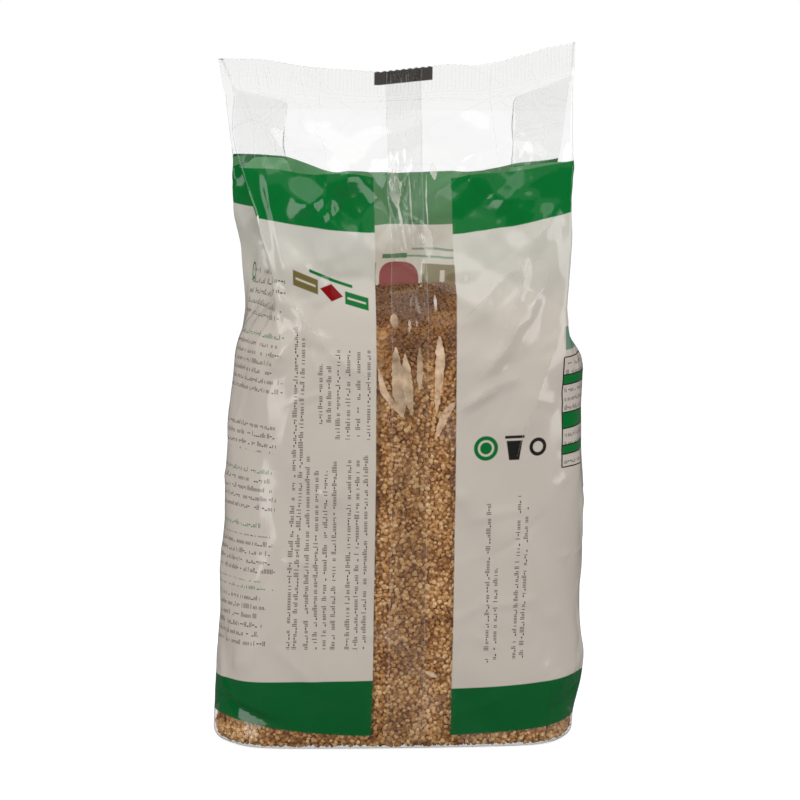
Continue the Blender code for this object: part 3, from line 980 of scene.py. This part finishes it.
class Shader:
    """One material's nodes, made and linked by short calls."""

    def __init__(self, name):
        self.material = bpy.data.materials.new(name)
        self.material.use_nodes = True
        self.tree = self.material.node_tree
        self.tree.nodes.clear()

    def add(self, kind, inputs=None, output=0, **settings):
        """Adds a node, sets or links its inputs, and returns one of its outputs."""
        node = self.tree.nodes.new("ShaderNode" + kind)
        for name, value in settings.items():
            setattr(node, name, value)
        for key, value in (inputs or {}).items():
            if isinstance(value, bpy.types.NodeSocket):
                self.tree.links.new(value, node.inputs[key])
            else:
                node.inputs[key].default_value = value
        return node.outputs[output]

    def maths(self, operation, *values, clamp=False):
        return self.add("Math", dict(enumerate(values)), operation=operation, use_clamp=clamp)

    def between(self, place, low, high, soft=EDGE):
        """1 where a place is between two numbers and 0 elsewhere, with soft edges."""
        gap = self.maths("ABSOLUTE", self.maths("SUBTRACT", place, (low + high) / 2))
        return self.maths("MULTIPLY_ADD", gap, -1 / soft, (high - low) / 2 / soft + 0.5, clamp=True)

    def above(self, place, level, soft=EDGE):
        """1 where a place is above a level, which may itself vary, and 0 below it."""
        return self.maths("MULTIPLY_ADD", self.maths("SUBTRACT", place, level), 1 / soft, 0.5, clamp=True)

    def both(self, *masks):
        result = masks[0]
        for mask in masks[1:]:
            result = self.maths("MULTIPLY", result, mask)
        return result

    def either(self, *masks):
        result = masks[0]
        for mask in masks[1:]:
            result = self.maths("MAXIMUM", result, mask)
        return result

    def box(self, u, v, left, right, low, high, soft=EDGE):
        return self.both(self.between(u, left, right, soft), self.between(v, low, high, soft))

    def oval(self, u, v, middle, half_width, half_height, line=None):
        """A filled oval, or an outline of it of the given width."""
        across = self.maths("DIVIDE", self.maths("SUBTRACT", u, middle[0]), half_width)
        up = self.maths("DIVIDE", self.maths("SUBTRACT", v, middle[1]), half_height)
        square = self.maths("ADD", self.maths("MULTIPLY", across, across), self.maths("MULTIPLY", up, up))
        radius = self.maths("MULTIPLY", self.maths("SQRT", square), min(half_width, half_height))
        edge = min(half_width, half_height)
        if line is None:
            return self.maths("MULTIPLY_ADD", radius, -1 / EDGE, edge / EDGE + 0.5, clamp=True)
        return self.between(radius, edge - line, edge)

    def paint(self, under, colour, mask):
        return self.add("Mix", {0: mask, 6: under, 7: colour}, output=2, data_type="RGBA")

    def output(self, surface):
        end = self.tree.nodes.new("ShaderNodeOutputMaterial")
        self.tree.links.new(surface, end.inputs["Surface"])
        return self.material


# Blocks of small text, drawn only as rows of letter-sized marks. Upright ones run up the film, as
# (middle of the first line, lines, pitch, lowest v, highest v, lean); all numbers are in millimetres.
LETTER = 1.15
UPRIGHT_TEXT = [
    (-44.1, 2, 2.4, 37, 154, 0.022),
    (-37.7, 4, 3.13, 36.6, 107.5, 0),
    (-23.3, 3, 2.9, 36.5, 107.5, 0),
    (-27.3, 4, 3.5, 110.5, 142.5, 0),
    (26, 1, 3, 31.3, 89.4, 0),
    (28.9, 1, 3, 31.3, 69.4, 0),
    (35.9, 2, 2.9, 32, 91, 0.02),
]
UPRIGHT_BOLD_TEXT = [(-33.4, 2, 3.0, 115.5, 138, 0)]
LEVEL_PITCH = 3.1
LEVEL_TEXT = [(148.5, 164), (123.5, 142), (104, 114), (83, 96), (62.7, 75.5), (37, 56)]
LEVEL_HEADINGS = [(142.4, 145.5), (96.4, 99.2), (77.6, 80.4), (57, 60)]
LEVEL_LEFT = -107
LEVEL_RIGHT = -50
LEVEL_LEAN = 0.05
LEVEL_LEAN_FROM = 40


def marks(shader, along, row, within):
    """Rows of small ticks and dashes; within is the height in a row, from 0 at the ticks' feet to 1."""
    cell = shader.maths("DIVIDE", along, LETTER)
    place = shader.add("CombineXYZ", {0: shader.maths("FLOOR", cell), 1: row, 2: 3.7})
    noise = shader.add("TexWhiteNoise", {"Vector": place}, output="Color", noise_dimensions="3D")
    red, green, blue = [shader.add("SeparateColor", {0: noise}, output=channel) for channel in range(3)]
    top = shader.maths("MULTIPLY_ADD", shader.maths("GREATER_THAN", red, 0.74), 0.3, 0.62)
    across = shader.maths("FRACT", cell)
    upright = shader.either(
        shader.between(across, 0.08, 0.3, 0.18),
        shader.both(shader.between(across, 0.56, 0.78, 0.18), shader.maths("GREATER_THAN", green, 0.35)),
    )
    tick = shader.both(
        upright, shader.above(within, 0.04, 0.1), shader.above(top, within, 0.1),
        shader.maths("GREATER_THAN", blue, 0.3),
    )
    level = shader.maths("MULTIPLY_ADD", shader.maths("GREATER_THAN", green, 0.5), 0.3, 0.15)
    dash = shader.both(
        shader.between(shader.maths("SUBTRACT", within, level), -0.1, 0.1, 0.08),
        shader.between(across, 0.08, 0.78, 0.18),
        shader.maths("LESS_THAN", blue, 0.3),
    )
    return shader.both(shader.maths("GREATER_THAN", red, 0.14), shader.either(tick, dash))


def upright_text(shader, u, v, block):
    """Lines of marks that run up the film, with ragged ends."""
    first, lines, pitch, low, high, lean = block
    if lean:
        lowered = shader.maths("SUBTRACT", v, low)
        u = shader.maths("SUBTRACT", u, shader.maths("MULTIPLY", lowered, lean))
    across = shader.maths("DIVIDE", shader.maths("SUBTRACT", u, first - pitch / 2), pitch)
    row = shader.maths("FLOOR", shader.maths("ADD", across, round(abs(first))))
    rise = shader.maths("SUBTRACT", 1, shader.maths("FRACT", across))
    within = shader.maths("MULTIPLY_ADD", rise, pitch / 1.9, 0.5 - pitch / 1.9 / 2 - 0.05)
    ragged = shader.add("TexWhiteNoise", {"W": shader.maths("ADD", row, first)}, noise_dimensions="1D")
    top = shader.maths("MULTIPLY_ADD", ragged, -0.12 * (high - low), high)
    region = shader.both(
        shader.between(u, first - pitch / 2, first + (lines - 0.5) * pitch, 0.05),
        shader.above(v, low, 0.5), shader.above(top, v, 0.5),
    )
    return shader.both(region, marks(shader, v, row, within))


def level_text(shader, u, v, ranges, left, right):
    """Rows of marks across the film, in each range of v, between a straight and a ragged edge."""
    scaled = shader.maths("DIVIDE", v, LEVEL_PITCH)
    row = shader.maths("FLOOR", scaled)
    within = shader.maths("MULTIPLY_ADD", shader.maths("FRACT", scaled), LEVEL_PITCH / 1.9, -0.3)
    ragged = shader.add("TexWhiteNoise", {"W": row}, noise_dimensions="1D")
    end = shader.maths("MULTIPLY_ADD", ragged, -6, right)
    rows = shader.either(*[shader.between(v, low, high, 0.1) for low, high in ranges])
    region = shader.both(rows, shader.above(u, left), shader.above(end, u))
    return shader.both(region, marks(shader, u, row, within))


# The table printed on the right gusset
TABLE_LEFT = 53.5
TABLE_RIGHT = 79
TABLE_RANGE = (98.8, 137)
TABLE_BARS = [(127.4, 130.8), (112.2, 117.7), (103.3, 106.4)]
TABLE_RULES = [137, 130.8, 127.4, 117.7, 112.2, 106.4, 103.3, 98.8]


# The label on the face behind, as (colour, left, right, low, high), and ovals and canes
FAR_RIBBON = [(OLIVE, -42, -8, 154, 167), (OLIVE, 8.6, 42, 154, 167)]
FAR_RIBBON += [(FIELD, place, place + 1.7, 157.5, 165) for place in (-35, -26, -16, 14, 24, 33)]
FAR_BLOCK = (0.3, 160.2, 7)
FAR_LINES = [(WEDGE, -32, -2, 169, 169.7), (WEDGE, -30, -4, 171.6, 172.3), (GREEN, -2.5, 6.5, 168.6, 170.4)]
FAR_OVAL_MIDDLE = (1, 100)
FAR_OVALS = [(CREAM, 42, 36, None), (GREEN, 42, 36, 2.2), (OLIVE, 38, 32.6, 0.7)]
FAR_CANES = [(-13, 80, 121), (1, 76, 125), (15, 80, 121)]
FAR_CANE_HALF = 2.4
FAR_CANE_JOINT = 9.5
FAR_FOOT = [(OLIVE, -30, 32, 50, 57), (OLIVE, -22, 24, 44, 46)]


def gusset_table(shader, u, v, under):
    """A table with green bars on the right gusset, and a green wedge above it."""
    bars = shader.either(*[shader.between(v, low, high) for low, high in TABLE_BARS])
    across = shader.between(u, TABLE_LEFT, TABLE_RIGHT)
    under = shader.paint(under, GREEN, shader.both(bars, across))
    under = shader.paint(under, WEDGE, shader.box(u, v, TABLE_LEFT + 0.5, TABLE_RIGHT, 139.5, 147.5))
    text = level_text(shader, u, v, [(98.8, 103), (106.4, 112), (118, 127), (131, 137)], 54.6, 78.5)
    under = shader.paint(under, BOLD_TEXT, text)
    rules = [shader.between(v, level - 0.22, level + 0.22, 0.15) for level in TABLE_RULES]
    low, high = TABLE_RANGE
    sides = shader.either(
        shader.between(u, TABLE_LEFT - 0.3, TABLE_LEFT + 0.3, 0.15),
        shader.between(u, TABLE_RIGHT - 0.3, TABLE_RIGHT + 0.3, 0.15),
    )
    level = shader.both(shader.either(*rules), across)
    upright = shader.both(sides, shader.between(v, low, high))
    return shader.paint(under, BOLD_TEXT, shader.either(level, upright))


def small_signs(shader, u, v, under):
    """Three plain signs in a row: a ringed green disc, a dark tub and a dark ring."""
    under = shader.paint(under, GREEN, shader.oval(u, v, (24.7, 107.2), 4.3, 4.3))
    under = shader.paint(under, FIELD, shader.oval(u, v, (24.7, 107.2), 2.9, 2.9, line=0.8))
    slope = shader.maths("MULTIPLY", shader.maths("SUBTRACT", v, 107), 0.16)
    wide = shader.maths("SUBTRACT", shader.maths("ABSOLUTE", shader.maths("SUBTRACT", u, 34.9)), slope)
    tub = shader.both(shader.between(wide, -5, 2.5), shader.between(v, 102.8, 109.6))
    under = shader.paint(under, BOLD_TEXT, tub)
    under = shader.paint(under, BOLD_TEXT, shader.box(u, v, 31.4, 38.4, 110.4, 111.4))
    return shader.paint(under, BOLD_TEXT, shader.oval(u, v, (43.6, 107), 3.2, 3.2, line=1.3))


def shown_emblem(shader, u, v, under):
    """A small slanted emblem of bars with a lozenge between them."""
    fallen = shader.maths("MULTIPLY_ADD", shader.maths("ADD", u, 29.5), 0.27, v)
    under = shader.paint(under, OLIVE, shader.box(u, fallen, -42.5, -34, 158.4, 163.2))
    under = shader.paint(under, GREEN, shader.box(u, fallen, -24.6, -16.5, 158.4, 162.8))
    under = shader.paint(under, FIELD, shader.box(u, fallen, -41.6, -34.8, 160.5, 161.2))
    under = shader.paint(under, FIELD, shader.box(u, fallen, -23.8, -17.4, 160.3, 161.0))
    across = shader.maths("MULTIPLY", shader.maths("ABSOLUTE", shader.maths("ADD", u, 29.3)), 0.75)
    up = shader.maths("ABSOLUTE", shader.maths("SUBTRACT", fallen, 160.7))
    lozenge = shader.above(3, shader.maths("ADD", across, up))
    under = shader.paint(under, RED, lozenge)
    return shader.paint(under, GREEN, shader.box(u, fallen, -37, -22, 164.6, 165.7))


def far_label(shader, f, v, under):
    """The label on the face behind: a ribbon with a block in it, and an oval with three canes in it."""
    for colour, *edges in FAR_RIBBON:
        under = shader.paint(under, colour, shader.box(f, v, *edges))
    across = shader.maths("ABSOLUTE", shader.maths("SUBTRACT", f, FAR_BLOCK[0]))
    up = shader.maths("ABSOLUTE", shader.maths("SUBTRACT", v, FAR_BLOCK[1]))
    cubed = shader.maths("ADD", shader.maths("POWER", across, 3), shader.maths("POWER", up, 3))
    under = shader.paint(under, RED, shader.above(FAR_BLOCK[2] ** 3, cubed, 40))
    for colour, *edges in FAR_LINES:
        under = shader.paint(under, colour, shader.box(f, v, *edges))
    for colour, half_width, half_height, line in FAR_OVALS:
        oval = shader.oval(f, v, FAR_OVAL_MIDDLE, half_width, half_height, line)
        under = shader.paint(under, colour, oval)
    for middle, low, high in FAR_CANES:
        cane = shader.box(f, v, middle - FAR_CANE_HALF, middle + FAR_CANE_HALF, low, high)
        joints = shader.maths("ADD", v, middle)
        joints = shader.maths("FRACT", shader.maths("DIVIDE", joints, FAR_CANE_JOINT))
        under = shader.paint(under, GREEN, shader.both(cane, shader.between(joints, 0.06, 0.94, 0.06)))
    for colour, *edges in FAR_FOOT:
        under = shader.paint(under, colour, shader.box(f, v, *edges))
    return under


def draw_print(shader, u, v):
    """The print's colours over the whole flat film, from the field up to the small marks."""
    turn = shader.maths("MULTIPLY", shader.maths("SIGN", u), HALF_GIRTH)
    far = shader.maths("SUBTRACT", u, turn)
    # Above the sugar the field is painted cooler: painted light through the ink where no sugar lies behind
    # it
    colour = shader.paint(FIELD, FIELD_LIT_THROUGH, shader.above(v, 160, 30))
    colour = far_label(shader, far, v, colour)
    colour = shown_emblem(shader, u, v, colour)
    colour = small_signs(shader, u, v, colour)
    colour = gusset_table(shader, u, v, colour)
    leaned = shader.maths("MULTIPLY", shader.maths("SUBTRACT", v, LEVEL_LEAN_FROM), LEVEL_LEAN)
    level_u = shader.maths("SUBTRACT", u, leaned)
    colour = shader.paint(colour, TEXT, level_text(shader, level_u, v, LEVEL_TEXT, LEVEL_LEFT, LEVEL_RIGHT))
    headings = level_text(shader, level_u, v, LEVEL_HEADINGS, LEVEL_LEFT, LEVEL_RIGHT)
    colour = shader.paint(colour, GREEN, headings)
    ring = shader.oval(u, v, (-99.5, 162), 2.3, 2.3, line=0.55)
    colour = shader.paint(colour, GREEN, ring)
    text = [upright_text(shader, u, v, block) for block in UPRIGHT_TEXT]
    colour = shader.paint(colour, TEXT, shader.either(*text))
    bold = [upright_text(shader, u, v, block) for block in UPRIGHT_BOLD_TEXT]
    colour = shader.paint(colour, BOLD_TEXT, shader.either(*bold))
    band_top = shader.maths("MULTIPLY_ADD", far, LOWER_BAND_SLANT, LOWER_BAND_TOP)
    colour = shader.paint(colour, GREEN, shader.above(v, UPPER_BAND[0]))
    colour = shader.paint(colour, GREEN_BELOW, shader.above(band_top, v))
    colour = shader.paint(colour, EYE_MARK, eye_mark(shader, u, v))
    bars = shader.either(shader.between(u, -8.9, -7.5), shader.between(u, 3, 4.2))
    return shader.paint(colour, EYE_BARS, shader.both(bars, eye_mark(shader, u, v)))


def eye_mark(shader, u, v):
    """The dark mark at the top edge of the shown face, for the packing machine's eye."""
    return shader.box(u, v, -13, 8.1, 233.3, 241)


def ink_mask(shader, u, v):
    """1 where the film is printed and 0 where it is clear."""
    beside_window = shader.above(shader.maths("ABSOLUTE", u), WINDOW_HALF)
    printed = shader.both(beside_window, shader.between(v, LOWER_BAND_BOTTOM, UPPER_BAND[1]))
    return shader.either(printed, eye_mark(shader, u, v))


def film_place(shader):
    """The place on the flat film, as u and v in millimetres."""
    flat = shader.add("UVMap", uv_map=FLAT_FILM)
    return shader.add("SeparateXYZ", {0: flat}), shader.add("SeparateXYZ", {0: flat}, output=1)


def crinkles(shader, u, v):
    """The bump of the film's fine crinkles and of the ribs crimped into its top seal."""
    place = shader.add("TexCoord", output="Object")
    fine = shader.add("TexNoise", {"Vector": place, "Scale": 130, "Detail": 3, "Roughness": 0.55})
    cells = shader.add("TexVoronoi", {"Vector": place, "Scale": 85}, feature="DISTANCE_TO_EDGE")
    creased = shader.maths("MINIMUM", cells, 0.25)
    ribs = shader.maths("SINE", shader.maths("MULTIPLY", u, 2 * math.pi / RIB_PITCH))
    sealed = shader.between(v, 229, 237.5, 0.5)
    height = shader.maths("MULTIPLY_ADD", creased, 0.4, shader.maths("MULTIPLY", fine, 0.16))
    height = shader.maths("MULTIPLY_ADD", shader.maths("MULTIPLY", ribs, sealed), 0.08, height)
    return shader.add("Bump", {"Height": height, "Distance": 0.0009, "Strength": 0.35})


def header_sheen_and_haze(shader, u, v):
    """Painted highlights of the empty top as faint milky lines, on its seal's ribs and lower edge and on
    its creases, painted sheen in clouds over the sugar, and a faint even haze of the film's own.
    """
    ribs = shader.maths("SINE", shader.maths("MULTIPLY", u, 2 * math.pi / RIB_PITCH))
    beside = shader.add("Clamp", {0: shader.above(shader.maths("ABSOLUTE", u), 30, 14), 1: 0.35})
    ribs = shader.both(shader.above(ribs, 0.45, 0.5), shader.above(v, 228.5, 2), beside)
    edge = shader.between(v, 227.8, 228.2)
    place = shader.add("TexCoord", output="Object")
    warp = shader.add("TexNoise", {"Vector": place, "Scale": 40, "Detail": 1}, output="Color")
    bent = shader.add("VectorMath", {0: warp, 1: (0.012, 0.012, 0.012), 2: place}, operation="MULTIPLY_ADD")
    cells = shader.add("TexVoronoi", {"Vector": bent, "Scale": 48}, feature="DISTANCE_TO_EDGE")
    creased = shader.both(shader.above(0.012, cells, 0.012), shader.above(v, 196, 12))
    lines = shader.either(shader.both(ribs, 0.9), shader.both(edge, 0.6), shader.both(creased, 0.45))
    clouds = shader.add("TexNoise", {"Vector": place, "Scale": 48, "Detail": 3})
    cloudy = shader.maths("MULTIPLY_ADD", clouds, 5, -2.8, clamp=True)
    cloudy = shader.both(cloudy, shader.above(150, v, 20))
    return shader.maths("MULTIPLY_ADD", cloudy, 0.1, shader.maths("MULTIPLY_ADD", lines, 0.13, 0.014))


def clear_film(shader, bump, sheen_and_haze):
    """Clear glossy film with a milky diffuse layer mixed in by the given amount: painted sheen and
    highlights along crumples, folds and ribs, over a faint even haze of the film's own.
    """
    through = shader.add("BsdfTransparent", {"Color": (0.99, 0.991, 0.988, 1)})
    milk = shader.add("BsdfDiffuse", {"Color": (0.9, 0.9, 0.88, 1), "Normal": bump})
    body = shader.add("MixShader", {0: sheen_and_haze, 1: through, 2: milk})
    gloss = shader.add("BsdfGlossy", {
        "Color": (1, 1, 1, 1), "Roughness": CLEAR_ROUGHNESS, "Normal": bump,
    })
    facing = shader.add("LayerWeight", {"Blend": 0.5, "Normal": bump}, output="Facing")
    grazing = shader.maths("POWER", facing, 4)
    shine = shader.maths("MULTIPLY_ADD", grazing, SHINE_GRAZING, SHINE_FACING, clamp=True)
    return shader.add("MixShader", {0: shine, 1: body, 2: gloss})


def film_material():
    """Clear film with the print's ink on it."""
    shader = Shader("printed_film")
    u, v = film_place(shader)
    bump = crinkles(shader, u, v)
    printed = shader.add("BsdfPrincipled", {
        "Base Color": draw_print(shader, u, v), "Roughness": INK_ROUGHNESS,
        "IOR": REFRACTIVE_INDEX, "Normal": bump,
    })
    clear = clear_film(shader, bump, header_sheen_and_haze(shader, u, v))
    opacity = shader.maths("MULTIPLY", ink_mask(shader, u, v), INK_OPACITY)
    return shader.output(shader.add("MixShader", {0: opacity, 1: clear, 2: printed}))


def liner_material():
    """The print seen from inside: white ink with the colours showing faintly through, glowing in its own
    colour as a painted glow for the light that comes through the ink.
    """
    shader = Shader("film_inside")
    u, v = film_place(shader)
    colour = shader.paint(draw_print(shader, u, v), INSIDE, 0.12)
    printed = shader.add("BsdfPrincipled", {
        "Base Color": colour, "Roughness": 0.3, "IOR": REFRACTIVE_INDEX, "Normal": crinkles(shader, u, v),
        "Emission Color": colour, "Emission Strength": INK_GLOW_FOR_LIGHT_THROUGH,
    })
    return shader.output(printed)


def strip_material():
    """The clear lap of the back seal, with painted milky highlights along its edges and in streaks where it
    is crumpled, over a faint even haze.
    """
    shader = Shader("back_seal_film")
    u, v = film_place(shader)
    bump = crinkles(shader, u, v)
    edges = shader.either(
        shader.between(u, STRIP_U[0] - 1, STRIP_U[0] + 0.35, 0.3),
        shader.between(u, STRIP_U[1] - 0.35, STRIP_U[1] + 1, 0.3),
    )
    drawn_out = shader.add("CombineXYZ", {
        0: shader.maths("MULTIPLY", u, 2.2), 1: shader.maths("MULTIPLY", v, 0.16),
    })
    streaks = shader.add("TexNoise", {"Vector": drawn_out, "Scale": 1, "Detail": 3})
    streaked = shader.maths("MULTIPLY_ADD", streaks, 4, -2.3, clamp=True)
    high = shader.above(v, 176, 14)
    sheen_and_haze = shader.maths("MULTIPLY_ADD", shader.both(streaked, high), 0.25, 0.004)
    sheen_and_haze = shader.maths("MULTIPLY_ADD", edges, 0.07, sheen_and_haze)
    return shader.output(clear_film(shader, bump, sheen_and_haze))


def sheen_patch_material():
    """Painted sheen of film standing just off the sugar: a milky sheet, warmer over the sugar, painted with
    the light the film throws back.
    """
    shader = Shader("painted_sheen_film")
    place = shader.add("TexCoord", output="Object")
    cloud = shader.add("TexNoise", {"Vector": place, "Scale": 230, "Detail": 3})
    sheen_amount = shader.add("Attribute", attribute_name="sheen_amount", output=2)
    sheen_and_haze = shader.maths("MULTIPLY", sheen_amount, shader.maths("MULTIPLY_ADD", cloud, 2.4, -0.3), clamp=True)
    across = shader.add("SeparateXYZ", {0: place})
    across = shader.maths("ABSOLUTE", shader.maths("SUBTRACT", across, PRINT_MIDDLE))
    high = shader.add("SeparateXYZ", {0: place}, output=2)
    at_window = shader.above((WINDOW_HALF + 1) * MM, across, MM)
    on_sugar = shader.both(shader.above(SUGAR_LEVEL, high, 5 * MM), at_window)
    milk = shader.add("BsdfPrincipled", {
        "Base Color": shader.paint(SHEEN_WHITE, SHEEN_ON_SUGAR, on_sugar), "Roughness": 0.25,
    })
    clear = shader.add("BsdfTransparent", {"Color": (1, 1, 1, 1)})
    return shader.output(shader.add("MixShader", {0: sheen_and_haze, 1: clear, 2: milk}))


def sugar_colour(shader, tone):
    """The sugar's colour for a tone from 0, dark, to 1, pale."""
    ramp = shader.tree.nodes.new("ShaderNodeValToRGB")
    shader.tree.links.new(tone, ramp.inputs[0])
    low, high = ramp.color_ramp.elements
    low.position, low.color = 0.0, SUGAR_DARK
    high.position, high.color = 1.0, SUGAR_LIGHT
    ramp.color_ramp.elements.new(0.5).color = SUGAR_MID
    return ramp.outputs[0]


def damp_patches(shader, place):
    """Broad patches where the sugar is a little darker or paler."""
    noise = shader.add("TexNoise", {"Vector": place, "Scale": 75, "Detail": 2})
    return shader.maths("SUBTRACT", noise, 0.5)


def grain_material():
    """Crystals of brown sugar, from dark syrupy ones to pale clear ones."""
    shader = Shader("sugar_grains")
    tone = shader.add("Attribute", attribute_name="tone", output=2)
    place = shader.add("TexCoord", output="Object")
    mottle = shader.add("TexNoise", {"Vector": place, "Scale": 900, "Detail": 2})
    mixed = shader.maths("MULTIPLY_ADD", mottle, 0.4, shader.maths("MULTIPLY_ADD", tone, 0.8, -0.1))
    mixed = shader.maths("ADD", mixed, damp_patches(shader, place))
    crystal = shader.add("BsdfPrincipled", {
        "Base Color": sugar_colour(shader, mixed), "Roughness": 0.32, "IOR": REFRACTIVE_INDEX,
        "Normal": shader.add("Bump", {"Height": mottle, "Distance": 0.0003, "Strength": 0.4}),
    })
    return shader.output(crystal)


def core_material():
    """The sugar behind the loose grains, pressed into small lumps."""
    shader = Shader("packed_sugar")
    place = shader.add("TexCoord", output="Object")
    cells = shader.add("TexVoronoi", {"Vector": place, "Scale": 620})
    tone = shader.add("TexVoronoi", {"Vector": place, "Scale": 620}, output="Color")
    # The packed sugar's tone is kept darker than the loose grains': painted shade for the gaps between them
    shade = shader.maths("MULTIPLY_ADD", shader.add("SeparateColor", {0: tone}), 0.6, 0.02)
    shade = shader.maths("ADD", shade, damp_patches(shader, place))
    packed = shader.add("BsdfPrincipled", {
        "Base Color": sugar_colour(shader, shade), "Roughness": 0.45, "IOR": REFRACTIVE_INDEX,
        "Normal": shader.add("Bump", {"Height": cells, "Distance": 0.0011, "Strength": 1.0}),
    })
    return shader.output(packed)


def make_floor():
    """A pale floor that blends into the white behind it."""
    shader = Shader("pale_floor")
    seen = shader.add("LightPath", output="Is Camera Ray")
    mirrored = shader.add("LightPath", output="Is Glossy Ray")
    surface = shader.add("BsdfPrincipled", {
        "Base Color": shader.paint(FLOOR_GREY, FLOOR_IN_GLOSS, mirrored),
        "Roughness": 0.8, "Emission Color": (1, 1, 1, 1),
        "Emission Strength": shader.maths("MULTIPLY", seen, FLOOR_GLOW),
    })
    signs = [(-1, -1), (1, -1), (1, 1), (-1, 1)]
    corners = [(x * FLOOR_HALF, y * FLOOR_HALF, -FLOOR_GAP) for x, y in signs]
    floor = make_object("floor", corners, [(0, 1, 2, 3)], shader.output(surface))


def add_softbox(name, place, aim, width, height, power):
    """A rectangular lamp that faces a point."""
    lamp = bpy.data.lights.new(name, "AREA")
    lamp.shape = "RECTANGLE"
    lamp.size, lamp.size_y, lamp.energy = width, height, power
    obj = bpy.data.objects.new(name, lamp)
    obj.location = place
    obj.rotation_euler = (Vector(aim) - Vector(place)).to_track_quat("-Z", "Y").to_euler()
    bpy.context.scene.collection.objects.link(obj)


def make_light():
    """A white world that lights the bag only weakly, and four softboxes."""
    world = bpy.data.worlds.new("studio")
    bpy.context.scene.world = world
    world.use_nodes = True
    nodes, links = world.node_tree.nodes, world.node_tree.links
    nodes.clear()
    seen = nodes.new("ShaderNodeBackground")
    seen.inputs["Color"].default_value = (1, 1, 1, 1)
    lighting = nodes.new("ShaderNodeBackground")
    lighting.inputs["Color"].default_value = (0.98, 0.99, 1, 1)
    scattered = nodes.new("ShaderNodeMath")
    scattered.operation = "MULTIPLY_ADD"
    scattered.inputs[1].default_value = WORLD_ON_DIFFUSE
    scattered.inputs[2].default_value = WORLD_ON_GLOSS
    links.new(nodes.new("ShaderNodeLightPath").outputs["Is Diffuse Ray"], scattered.inputs[0])
    links.new(scattered.outputs[0], lighting.inputs["Strength"])
    mix = nodes.new("ShaderNodeMixShader")
    links.new(nodes.new("ShaderNodeLightPath").outputs["Is Camera Ray"], mix.inputs[0])
    links.new(lighting.outputs[0], mix.inputs[1])
    links.new(seen.outputs[0], mix.inputs[2])
    links.new(mix.outputs[0], nodes.new("ShaderNodeOutputWorld").inputs[0])
    for name, place, width, height, power in LAMPS:
        add_softbox(name, place, LAMP_AIM, width, height, power)


def make_camera():
    """The photograph's camera, turned a little about its own axis."""
    sin_a, cos_a = math.sin(CAMERA_AZIMUTH), math.cos(CAMERA_AZIMUTH)
    sin_e, cos_e = math.sin(CAMERA_ELEVATION), math.cos(CAMERA_ELEVATION)
    ahead = Vector((-sin_a * cos_e, cos_a * cos_e, -sin_e))
    right = Vector((cos_a, sin_a, 0))
    up = right.cross(ahead)
    rolled_right = right * math.cos(CAMERA_ROLL) + up * math.sin(CAMERA_ROLL)
    rolled_up = up * math.cos(CAMERA_ROLL) - right * math.sin(CAMERA_ROLL)
    data = bpy.data.cameras.new("camera")
    data.lens = CAMERA_LENS
    camera = bpy.data.objects.new("camera", data)
    bpy.context.scene.collection.objects.link(camera)
    turn = Matrix((rolled_right, rolled_up, -ahead)).transposed().to_4x4()
    camera.matrix_world = Matrix.Translation(CAMERA_AIM - ahead * CAMERA_DISTANCE) @ turn
    bpy.context.scene.camera = camera


def main():
    bpy.context.scene.view_settings.view_transform = "Standard"
    film = Film()
    sugar = Sugar(film)
    make_film(film, film_material())
    make_liner(film, liner_material())
    make_strip(film, strip_material())
    make_sheen_patches(film, sheen_patch_material())
    make_core(sugar, core_material())
    make_grains(sugar, grain_material())
    make_floor()
    make_light()
    make_camera()


main()
